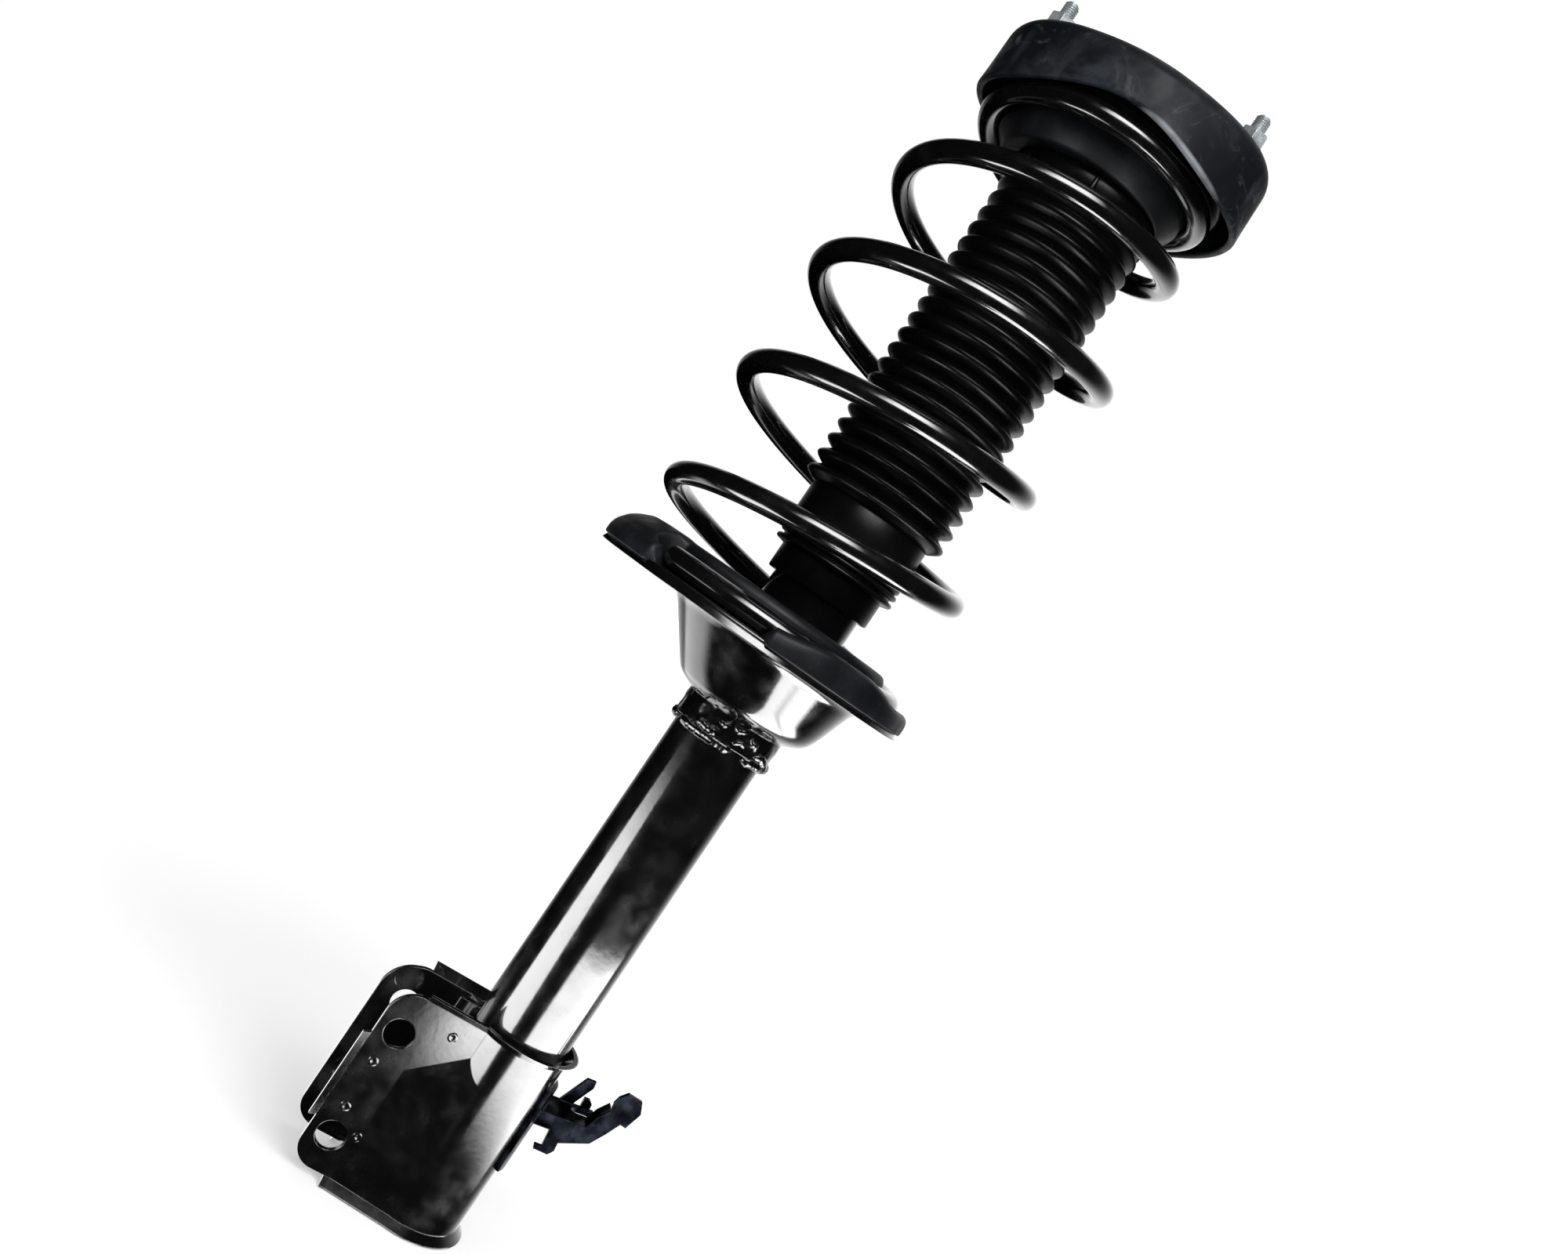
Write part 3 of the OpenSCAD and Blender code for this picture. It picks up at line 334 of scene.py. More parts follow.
def plated(name, color, roughness, grain, edge_r, metallic=1.0):
    """Plated or bare metal: cloudy tone, uneven gloss and fine scratches."""
    s = Shader(name, color, roughness, metallic=metallic)
    cloud = s.span(s.noise(120, detail=5), 0.3, 0.7)
    s.feed("Base Color", s.blend(cloud, tuple(c * 0.72 for c in color), color))
    s.feed("Roughness", s.span(s.noise(260, detail=4), 0.3, 0.7, roughness * 0.75, roughness * 1.35))
    s.bump(s.noise(grain, detail=4, stretch=(1, 1, 6)), 0.012 * MM, s.rounded_edges(edge_r))
    return s.material


def sintered():
    """Sintered iron with open pores."""
    pore, grain = (0.05, 0.05, 0.05), (0.24, 0.24, 0.25)
    s = Shader("sintered_iron", (0.2, 0.2, 0.21), 0.55, metallic=0.9)
    pores = s.span(s.cells(900), 0.05, 0.35)
    s.feed("Base Color", s.blend(pores, pore, grain))
    s.feed("Roughness", s.span(s.noise(300), 0.3, 0.7, 0.45, 0.7))
    s.bump(pores, 0.03 * MM, s.rounded_edges(0.4 * MM))
    return s.material


def rubber(name, color, roughness, bloom, edge_r=0.0, shine=0.2):
    """Moulded black rubber: a chalky bloom in patches, paler specks and a fine matt tooth."""
    s = Shader(name, color, roughness)
    s.feed("Specular IOR Level", shine)
    patches = s.span(s.noise(22, detail=7, roughness=0.6), 0.45, 0.75)
    specks = s.span(s.noise(420, detail=2), 0.66, 0.78)
    base = s.blend(patches, color, bloom)
    s.feed("Base Color", s.blend(s.math("MULTIPLY", specks, 0.5), base, tuple(c * 1.8 for c in bloom)))
    s.feed("Roughness", s.span(s.noise(75, detail=5), 0.3, 0.7, roughness * 0.85, min(1.0, roughness * 1.2)))
    tooth = s.math("ADD", s.noise(1400, detail=2), s.math("MULTIPLY", s.noise(240, detail=3), 1.5))
    s.bump(tooth, 0.025 * MM, s.rounded_edges(edge_r) if edge_r else None)
    return s.material


def foam():
    """Yellowish foam with fine cells."""
    pore, wall = (0.13, 0.11, 0.05), (0.32, 0.28, 0.15)
    s = Shader("bump_foam", (0.26, 0.23, 0.12), 0.9)
    pores = s.span(s.cells(700), 0.1, 0.5)
    s.feed("Base Color", s.blend(pores, pore, wall))
    s.bump(pores, 0.12 * MM)
    return s.material


def plastic(name, color):
    """Moulded plastic with a slightly uneven tone."""
    s = Shader(name, color, 0.4)
    s.feed("Base Color", s.blend(s.noise(150, detail=4), color, tuple(c * 0.7 for c in color)))
    s.bump(s.noise(700), 0.01 * MM, s.rounded_edges(0.2 * MM))
    return s.material


DEEP_BLACK = (0.0035, 0.0035, 0.004)

MATERIALS = {
    "mount_black": satin_steel(),
    "gloss_black": gloss_paint("gloss_black", DEEP_BLACK, 420, 0.012 * MM, 0.7 * MM),
    "spring_black": gloss_paint("spring_black", DEEP_BLACK, 520, 0.01 * MM, 0.3 * MM),
    "cap_black": gloss_paint("cap_black", (0.009, 0.009, 0.01), 700, 0.01 * MM, 0.6 * MM),
    "zinc_hardware": plated("zinc_hardware", (0.6, 0.65, 0.68), 0.34, 700, 0.4 * MM, metallic=0.62),
    "plain_steel": plated("plain_steel", (0.36, 0.37, 0.39), 0.4, 500, 0.4 * MM),
    "hard_chrome": plated("hard_chrome", (0.68, 0.69, 0.71), 0.09, 1500, 0.2 * MM),
    "sintered_iron": sintered(),
    "bush_bronze": plated("bush_bronze", (0.52, 0.3, 0.13), 0.35, 600, 0.3 * MM),
    "mount_rubber": rubber("mount_rubber", (0.006, 0.006, 0.0065), 0.62, (0.014, 0.015, 0.016)),
    "pad_rubber": rubber("pad_rubber", (0.005, 0.0055, 0.0075), 0.45, (0.021, 0.024, 0.029), shine=0.3),
    "boot_rubber": rubber("boot_rubber", (0.0022, 0.0022, 0.0024), 0.3, (0.0045, 0.0045, 0.005), shine=0.26),
    "bump_foam": foam(),
    "seal_rubber": rubber("seal_rubber", (0.02, 0.018, 0.016), 0.5, (0.03, 0.028, 0.025), 0.3 * MM),
    "seal_plastic": plastic("seal_plastic", (0.05, 0.16, 0.28)),
}


def dress_nodes():
    """Give every CAD node the finish of its slot in the record."""
    for part in frame["record"]["subparts"]:
        mesh = frame["nodes"][part["node"]].data
        mesh.materials.clear()
        mesh.materials.append(MATERIALS[part["material_slot"]])


# ------ mesh helpers

def smooth(t):
    """0 up to 0, 1 from 1 on, and a smooth step between them."""
    t = max(0.0, min(1.0, t))
    return t * t * (3 - 2 * t)


def polar(r, angle, z=0.0):
    """Point at a radius and a direction round the rod axis; the angle is in radians."""
    return Vector((r * math.cos(angle), r * math.sin(angle), z))


def loop(centre, across, up, sides):
    """Ring of points round a centre, spanned by two half axes."""
    turns = [math.tau * k / sides for k in range(sides)]
    return [centre + math.cos(a) * across + math.sin(a) * up for a in turns]


def skin(name, rows, slot, body, closed_rows=False, caps=False, sharp=40):
    """Piece whose faces join each closed row of points to the next. It rides on a body and takes a slot's
    finish; edges above the sharp angle, in degrees, stay sharp."""
    width = len(rows[0])
    points = [p for row in rows for p in row]
    faces = []
    for i in range(len(rows) if closed_rows else len(rows) - 1):
        for k in range(width):
            a, b = i * width + k, i * width + (k + 1) % width
            shift = ((i + 1) % len(rows) - i) * width
            faces.append((a, b, b + shift, a + shift))
    if caps:
        faces.append(tuple(reversed(range(width))))
        faces.append(tuple(range(len(points) - width, len(points))))
    mesh = bpy.data.meshes.new(name)
    mesh.from_pydata(points, [], faces)
    mesh.validate()
    mesh.shade_smooth()
    mesh.set_sharp_from_angle(angle=math.radians(sharp))
    mesh.materials.append(MATERIALS[slot])
    piece = bpy.data.objects.new(name, mesh)
    scene.collection.objects.link(piece)
    if body:
        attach(piece, body)
    return piece


def soften(points, radius, steps=4, closed=True):
    """The same outline with each corner turned into a curve, which starts at most radius away from it
    and before the middle of its sides."""
    share = 0.45
    points = [Vector(p) for p in points]
    result = []
    for i, corner in enumerate(points):
        if not closed and i in (0, len(points) - 1):
            result.append(corner)
            continue
        before, after = points[i - 1] - corner, points[(i + 1) % len(points)] - corner
        start = corner + before.normalized() * min(radius, share * before.length)
        end = corner + after.normalized() * min(radius, share * after.length)
        for k in range(steps + 1):
            t = k / steps
            result.append(start * (1 - t) ** 2 + corner * (2 * t * (1 - t)) + end * t ** 2)
    return result


def turned(name, outline, slot, body, steps=128, sharp=40):
    """Closed outline of (radius, height) points, turned round the rod axis."""
    rows = [[polar(p[0], math.tau * i / steps, p[1]) for p in outline] for i in range(steps)]
    return skin(name, rows, slot, body, closed_rows=True, sharp=sharp)


def canted(x, y, z):
    """Point of the lower seat's frame, in the frame of the part."""
    return Vector((-SEAT_OFFSET + x * math.cos(SEAT_CANT) + z * math.sin(SEAT_CANT), y,
                   SPRING_LOW - x * math.sin(SEAT_CANT) + z * math.cos(SEAT_CANT)))


def ring_of_sections(name, section, slot, body, steps=240, sharp=40):
    """Piece made of one closed section for each angle round the axis."""
    rows = [section(math.tau * i / steps) for i in range(steps)]
    return skin(name, rows, slot, body, closed_rows=True, sharp=sharp)


# ------ upper mount

def mount_housing():
    """Pressed shell: three lobes, a round shoulder and a scalloped skirt with its lip turned in."""
    arc_steps = 12
    wall_run = 8 * MM           # straight stretch of the skirt above its lip
    wall_slope = 0.4 * MM       # how far that stretch leans in
    highlight_height = 10 * MM
    highlight_bearing, highlight_spread = 277, 31     # degrees: middle and half width of the stretch, on the camera's side, that gets the painted highlight

    def section(angle):
        lobe = (1 + math.cos(3 * (angle - math.radians(STUD_ANGLE)))) / 2
        edge = SHELL_R + LOBE_REACH * lobe ** 2
        front = smooth(-math.cos(angle - math.radians(STUD_ANGLE)))
        foot = -SKIRT_DEPTH + SKIRT_SCALLOP * (REAR_SCALLOP + (1 - REAR_SCALLOP) * front) * (1 - lobe)

        def shoulder(depth):
            """Quarter circle of the sheet's surface at a depth below its outer one."""
            r = SHOULDER_R - depth
            return [(edge - depth - r * (1 - math.sin(a)), -depth - r * (1 - math.cos(a)))
                    for a in (math.pi / 2 * i / arc_steps for i in range(arc_steps + 1))]

        lip_in = edge - SKIRT_LIP
        draft = edge + SKIRT_DRAFT
        foot_line = soften([(draft - wall_slope, foot + wall_run, 0), (draft, foot, 0), (lip_in, foot, 0),
                            (lip_in, foot + SHELL_WALL, 0), (draft - SHELL_WALL, foot + SHELL_WALL, 0),
                            (draft - SHELL_WALL - wall_slope, foot + wall_run, 0)], 1.5 * MM, closed=False)
        line = ([(SHELL_OPENING_R, 0)] + shoulder(0) + [(p.x, p.y) for p in foot_line]
                + shoulder(SHELL_WALL)[::-1] + [(SHELL_OPENING_R, -SHELL_WALL)])
        return [polar(r, angle, z) for r, z in line]

    piece = ring_of_sections("mount_shell", section, "mount_black", "mount", steps=360)
    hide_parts("mount_housing")
    highlight_share = []           # 1 at the edge of the painted highlight, falling to 0 higher up and to its sides
    for vertex in piece.data.vertices:
        angle = math.atan2(vertex.co.y, vertex.co.x) % math.tau
        foot = min(p.z for p in section(angle))
        along = math.exp(-((math.degrees(angle) - highlight_bearing) / highlight_spread) ** 4)
        highlight_share.append(max(0.0, 1 - (vertex.co.z - foot) / highlight_height) * along)
    piece.data.attributes.new(PAINTED_SKIRT_HIGHLIGHT, "FLOAT", "POINT").data.foreach_set("value", highlight_share)


def threaded_bar(name, stations, thread, slot, body, centre=(0, 0), columns=40):
    """Turned bar from (radius, height) stations, lowest first, with a helical thread cut between two of
    its heights; thread holds those heights, the pitch and the depth."""
    low, high, pitch, depth = thread
    turn_steps = 8
    rows = []
    for (r0, z0), (r1, z1) in zip(stations, stations[1:]):
        if z1 == z0 or z0 > high or z1 < low:
            rows += [(r0, z0), (r1, z1)]
            continue
        count = max(1, round((z1 - z0) / (pitch / turn_steps)))
        rows += [(r0 + (r1 - r0) * i / count, z0 + (z1 - z0) * i / count) for i in range(count + 1)]
    points = []
    for r, z in rows:
        ring = []
        for k in range(columns):
            angle = math.tau * k / columns
            fade = smooth((z - low) / pitch) * smooth((high - z) / (0.5 * pitch))
            groove = abs(((z / pitch - k / columns) % 1) * 2 - 1)
            ring.append(Vector((*centre, 0)) + polar(r - depth * fade * groove, angle, z))
        points.append(ring)
    return skin(name, points, slot, body, caps=True, sharp=50)


def tower_studs():
    """Three pressed-in studs with rolled threads."""
    head_low = -SHELL_WALL - WELD_GAP - STUD_HEAD_H
    tip = STUD_HIGH[2]
    head_bevel, tip_bevel = 0.5 * MM, 1.2 * MM
    stations = [(STUD_HEAD_R - head_bevel, head_low), (STUD_HEAD_R, head_low + head_bevel),
                (STUD_HEAD_R, head_low + STUD_HEAD_H), (STUD_R, head_low + STUD_HEAD_H),
                (STUD_R, tip - tip_bevel), (STUD_R - tip_bevel, tip)]
    thread = (1 * MM, tip, STUD_THREAD_PITCH, STUD_THREAD_DEPTH)
    for i in range(3):
        spot = polar(STUD_RING_R, math.radians(STUD_ANGLE + 120 * i))
        piece = threaded_bar(f"stud_{i + 1}", stations, thread, "zinc_hardware", "mount",
                             centre=(spot.x, spot.y))
        if i == 0:
            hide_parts("tower_studs")


def rod():
    """Chromed damper rod with a rolled thread at the nut."""
    shoulder = CORE_LOW[2] - CUP_WALL - 2 * WELD_GAP
    foot_bevel, shoulder_bevel, tip_bevel = 0.6 * MM, 0.5 * MM, 1.5 * MM
    stations = [(ROD_SPIGOT_R - foot_bevel, ROD_LOW[2]), (ROD_SPIGOT_R, ROD_LOW[2] + foot_bevel),
                (ROD_SPIGOT_R, PISTON_HIGH[2] + WELD_GAP), (ROD_R, PISTON_HIGH[2] + WELD_GAP),
                (ROD_R, shoulder - shoulder_bevel), (ROD_R - shoulder_bevel, shoulder),
                (ROD_THREAD_R, shoulder), (ROD_THREAD_R, ROD_HIGH[2] - tip_bevel),
                (ROD_THREAD_R - tip_bevel, ROD_HIGH[2])]
    thread = (CORE_HIGH[2] + ROD_WASHER_H, ROD_HIGH[2], ROD_THREAD_PITCH, ROD_THREAD_DEPTH)
    piece = threaded_bar("damper_rod", stations, thread, "hard_chrome", "mount", columns=64)
    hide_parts("piston_rod")


def mount_rubber():
    """Rubber bonded between the shell and the core, with a moulded hollow round the core."""
    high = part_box("mount_rubber")[1]
    wall_r, throat_r, collar_r = high[0], 38.2 * MM, 18 * MM
    flange_top = CORE_LOW[2] + CORE_FLANGE_H + WELD_GAP
    outline = [(SHELL_OPENING_R + 1 * MM, high[2]), (wall_r, high[2]),
               (wall_r, UPPER_SEAT_LOW[2] + SEAT_WALL), (throat_r, UPPER_SEAT_LOW[2]),
               (throat_r, flange_top + 7 * MM), (CORE_FLANGE_R, flange_top),
               (CORE_R + WELD_GAP, flange_top), (CORE_R + WELD_GAP, CORE_HIGH[2] - 3 * MM),
               (collar_r, CORE_HIGH[2]), (collar_r + 3.4 * MM, CORE_HIGH[2] + 6 * MM)]
    outline = soften([(r, z, 0) for r, z in outline], 1.6 * MM)
    piece = turned("mount_cushion", [(p.x, p.y) for p in outline], "mount_rubber", "mount")
    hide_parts("mount_rubber")


def upper_isolator():
    """Rubber ring over the top turn, cut to the cant of the spring, with its centring hub."""
    top = UPPER_SEAT_LOW[2] - WELD_GAP
    bore = BOOT_COLLAR_R + SEAT_GAP
    hub = SPRING_TOP_R - WIRE_R - 0.8 * MM
    rim = SPRING_TOP_R + 7 * MM
    foot = top - ISOLATOR_HUB_H

    def section(angle):
        def outer(r, z):
            return Vector((-SPRING_TOP_OFFSET, 0, 0)) + polar(r, angle, z)

        def underside(r):
            point = outer(r, 0)
            drop = (point.x + SPRING_TOP_OFFSET) * math.tan(CANT)
            return Vector((point.x, point.y, SPRING_HIGH + WIRE_R + SEAT_GAP - drop))

        foot_r = bore + SPRING_TOP_OFFSET + 1.2 * MM
        line = [polar(bore, angle, top), outer(rim, top), underside(rim), underside(hub + 0.6 * MM),
                outer(hub, foot + 8 * MM), outer(foot_r, foot), polar(bore, angle, foot)]
        return soften(line, 1.8 * MM, steps=5)

    piece = ring_of_sections("isolator_ring", section, "pad_rubber", "mount")
    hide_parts("upper_isolator")


def bump_stop():
    """Microcellular foam helper with three bulges."""
    low, high = BUMP_LOW[2], BUMP_HIGH[2]
    steps, bulges = 72, 3
    taper, waist = 5 * MM, 3 * MM       # how much narrower it is at its foot, and between two bulges
    outer = []
    for i in range(steps + 1):
        t = i / steps
        pinch = waist * (1 + math.cos(math.tau * bulges * t)) / 2
        outer.append((BUMP_R - taper * (1 - t) - pinch, low + (high - low) * t))
    bore = ROD_R + SEAT_GAP
    outline = [(bore, high), (bore, low)] + outer
    piece = turned("bump_foam_body", outline, "bump_foam", "mount", steps=96)
    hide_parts("bump_stop")


# ------ boot

def dust_boot():
    """Moulded bellows: round ribs that deepen downwards, a plain sleeve, two beads and a cuff."""
    collar_low = BOOT_HIGH[2] - 17 * MM
    cuff_top = BOOT_LOW[2] + 14 * MM
    bead = 4.5 * MM
    sleeve_low = cuff_top + 2 * bead
    sleeve_high = sleeve_low + BOOT_SLEEVE_H
    pitch = (collar_low - sleeve_high) / BOOT_RIBS
    rib_steps = 12
    rib_depth, rib_growth = 3.6, 2.2        # millimetres: depth of the top rib, and what the last has more

    def rib_line():
        line = []
        for i in range(BOOT_RIBS * rib_steps):
            t = i / rib_steps
            depth = (rib_depth + rib_growth * t / BOOT_RIBS) * MM
            lift = 0.5 - 0.5 * math.cos(math.tau * t)
            line.append((BOOT_CREST_R - depth * (1 - lift ** 0.7), collar_low - pitch * t))
        return line

    collar = [(BOOT_COLLAR_R - 0.9 * MM, BOOT_HIGH[2]), (BOOT_COLLAR_R, BOOT_HIGH[2] - 1 * MM),
              (BOOT_COLLAR_R, collar_low + 1.2 * MM), (BOOT_COLLAR_R - 1 * MM, collar_low + 0.3 * MM)]
    # one bead, in millimetres beyond the radius of the sleeve and below the top of the bead
    bead_line = [(-2.2, 0.9), (-0.2, 1.3), (0.5, 2), (0.5, 3), (-0.2, 3.7), (-2.2, 4.1)]
    beads = [(BOOT_SLEEVE_R + r * MM, sleeve_low - bead * i - drop * MM)
             for i in range(2) for r, drop in bead_line]
    sleeve = [(BOOT_SLEEVE_R - 0.6 * MM, sleeve_high), (BOOT_SLEEVE_R, sleeve_high - 1.4 * MM),
              (BOOT_SLEEVE_R, sleeve_low + 0.6 * MM), (BOOT_SLEEVE_R - 0.7 * MM, sleeve_low)]
    cuff = [(BOOT_CUFF_R, cuff_top - 0.4 * MM), (BOOT_CUFF_R, BOOT_LOW[2] + 0.6 * MM),
            (BOOT_CUFF_R - 0.5 * MM, BOOT_LOW[2])]
    outer = collar + rib_line() + sleeve + beads + cuff
    inner = [(r - BOOT_WALL, z) for r, z in reversed(outer)]
    inner[0] = (inner[0][0], BOOT_LOW[2])
    piece = turned("boot_bellows", outer + inner, "boot_rubber", None, steps=144, sharp=60)
    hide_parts("dust_boot")
    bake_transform(piece, "mount", "strut", start=(0, 0, collar_low), end=(0, 0, sleeve_high))
    share_travel(piece, [(collar_low - v.co.z) / (collar_low - sleeve_high) for v in piece.data.vertices])


def collar_ribs():
    """Short upright ribs moulded on the collar of the boot, below the upper rubber."""
    low, high = BOOT_HIGH[2] - 16 * MM, UPPER_SEAT_LOW[2] - ISOLATOR_HUB_H - 0.8 * MM
    count, first, sides = 6, 256, 12        # first is the direction of the first rib, in degrees
    height, half_width = 0.9 * MM, 1.4 * MM
    # share of the rib's length and relative size there, so that both of its ends are rounded
    profile = ((0, 0.45), (0.05, 0.8), (0.12, 1.0), (0.88, 1.0), (0.95, 0.8), (1, 0.45))
    for i in range(count):
        angle = math.radians(first + 360 / count * i)
        out, side = polar(1, angle), polar(1, angle + math.pi / 2)
        rows = [loop(polar(BOOT_COLLAR_R, angle, low + (high - low) * share),
                     size * height * out, size * half_width * side, sides) for share, size in profile]
        skin(f"collar_rib_{i + 1}", rows, "boot_rubber", "mount", caps=True)


def share_travel(piece, shares):
    """Give each point of a blended piece its own share of the lower body's travel, from 0 to 1."""
    weights = piece.data.attributes["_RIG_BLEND"].data
    for weight, share in zip(weights, shares):
        weight.value = max(0.0, min(1.0, share))


# ------ spring

def coil_spring():
    """Offset helical spring of round wire; its lower end lies in the pad, its upper one in the mount."""
    step, sides = 4, 24
    # degrees of wire: where each change of form starts, and how far it takes
    narrow_from, narrow_over = CREST - 780, 560
    lean_from, lean_over = CREST - 1080, 900
    cant_over = 360
    rise_units = (KNEE - LIFT_OFF - RUN_IN / 2) + (CREST - KNEE) / 2

    def share(a):
        """Height of the wire above its seated plane, as a share of the free height."""
        if a <= LIFT_OFF:
            return 0.0
        if a < LIFT_OFF + RUN_IN:
            return (a - LIFT_OFF) ** 2 / (2 * RUN_IN) / rise_units
        if a >= CREST:
            return 1.0
        flattened = max(0.0, a - KNEE) ** 2 / (2 * (CREST - KNEE))
        return (a - LIFT_OFF - RUN_IN / 2 - flattened) / rise_units

    def wire(a):
        """Middle of the wire, a degrees along it."""
        r = SPRING_R - (SPRING_R - SPRING_TOP_R) * smooth((a - narrow_from) / narrow_over)
        x = -SEAT_OFFSET + (SEAT_OFFSET - SPRING_TOP_OFFSET) * smooth((a - lean_from) / lean_over)
        cant = SEAT_CANT + (CANT - SEAT_CANT) * smooth((a - LIFT_OFF) / cant_over)
        turn = math.radians(a)
        z = SPRING_LOW + (SPRING_HIGH - SPRING_LOW) * share(a) - math.tan(cant) * r * math.cos(turn)
        return Vector((x + r * math.cos(turn), r * math.sin(turn), z))

    start, end = -SEATED_ANGLE, CREST + TOP_ANGLE
    count = math.ceil((end - start) / step)
    stations = [(start + (end - start) * i / count, 1.0) for i in range(count + 1)]
    bevel = 0.5           # degrees of wire over which a cut end is rounded off
    stations[0:1] = [(start, 0.8), (start + 0.4 * bevel, 0.94), (start + bevel, 1.0)]
    stations[-1:] = [(end - bevel, 1.0), (end - 0.4 * bevel, 0.94), (end, 0.8)]
    rows, shares = [], []
    for a, size in stations:
        along = (wire(a + 1) - wire(a - 1)).normalized()
        out = polar(1, math.radians(a))
        out = (out - along * out.dot(along)).normalized()
        up = out.cross(along)
        rows.append(loop(wire(a), WIRE_R * size * out, WIRE_R * size * up, sides))
        shares += [share(a)] * sides
    piece = skin("spring_wire", rows, "spring_black", None, caps=True)
    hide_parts("coil_spring")
    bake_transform(piece, "mount", "strut", start=(0, 0, SPRING_HIGH), end=(0, 0, SPRING_LOW))
    close_up = 1.6        # above 1, the turns near the mount close further than those near the seat
    share_travel(piece, [1 - s ** close_up for s in shares])


# ------ lower spring seat

# Heights of the pad, the plate and the rim in the seat's frame, and of the funnel and neck in the part's
PAD_TOP = -WIRE_R - SEAT_GAP
PLATE_TOP = PAD_TOP - PAD_WALL
PLATE_LOW = PLATE_TOP - SEAT_WALL
RIM_TOP = PLATE_TOP + SEAT_RIM_LIFT
RIM_LOW = RIM_TOP - SEAT_RIM_H
NECK_R = TUBE_R + WELD_GAP + SEAT_WALL
FUNNEL_LOW = SPRING_LOW + PLATE_LOW - FUNNEL_H
NECK_TOP = FUNNEL_LOW - SHOULDER_H
NECK_LOW = NECK_TOP - NECK_H


def lower_spring_seat():
    """Pressed seat in one sheet: rolled rim, canted plate, offset funnel and a dimpled neck."""
    def plate(x, y, height):
        """Point over (x, y) on the canted plate, at a height in the seat's frame."""
        z = SPRING_LOW + height / math.cos(SEAT_CANT) - (x + SEAT_OFFSET) * math.tan(SEAT_CANT)
        return Vector((x, y, z))

    def mouth(r, angle, height):
        """Point of the plate round the mouth of the funnel."""
        spot = polar(r, angle)
        return plate(spot.x - FUNNEL_OFFSET, spot.y, height)

    def rim(r, angle, height):
        """Point round the seat's own axis."""
        spot = polar(r, angle)
        return canted(spot.x, spot.y, height)

    def dimpled(angle, z, r):
        """Neck surface with the puddled marks of its plug welds."""
        coarse, fine = 0.8 * MM, 0.35 * MM
        place = Vector((math.cos(angle), math.sin(angle), 0)) * 3.2 + Vector((0, 0, z / (7 * MM)))
        return polar(r + coarse * noise.noise(place) + fine * noise.noise(place * 2.6), angle, z)

    bore = TUBE_R + WELD_GAP
    lip_r = SEAT_RIM_R - SEAT_WALL
    mouth_r = FUNNEL_TOP_R - SEAT_WALL - 1 * MM
    shoulder_r = FUNNEL_SHOULDER_R - SEAT_WALL - 4 * MM
    shoulder_z = FUNNEL_LOW - 5 * MM
    neck_steps = 10

    def section(angle):
        crisp = soften([rim(SEAT_RIM_R + 1.5 * MM, angle, RIM_LOW), rim(SEAT_RIM_R, angle, RIM_LOW + 3 * MM),
                        rim(SEAT_RIM_R, angle, RIM_TOP), rim(lip_r, angle, RIM_TOP),
                        rim(lip_r, angle, PLATE_TOP), mouth(mouth_r, angle, PLATE_TOP)],
                       1.2 * MM, closed=False)
        inside = [mouth(mouth_r, angle, PLATE_LOW), polar(FUNNEL_SHOULDER_R - SEAT_WALL, angle, FUNNEL_LOW),
                  polar(shoulder_r, angle, shoulder_z), polar(bore, angle, NECK_TOP),
                  polar(bore, angle, NECK_LOW), polar(NECK_R, angle, NECK_LOW)]
        neck = [dimpled(angle, NECK_LOW + (NECK_TOP - NECK_LOW) * i / neck_steps, NECK_R)
                for i in range(1, neck_steps + 1)]
        outside = soften([neck[-1], polar(shoulder_r + SEAT_WALL, angle, shoulder_z),
                          polar(FUNNEL_SHOULDER_R, angle, FUNNEL_LOW),
                          mouth(FUNNEL_TOP_R, angle, PLATE_LOW), rim(lip_r, angle, PLATE_LOW),
                          rim(lip_r, angle, RIM_LOW)], 6 * MM, steps=8, closed=False)
        return crisp + inside + neck + outside[1:]

    piece = ring_of_sections("seat_pressing", section, "gloss_black", "strut", steps=288, sharp=50)
    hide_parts("lower_spring_seat")


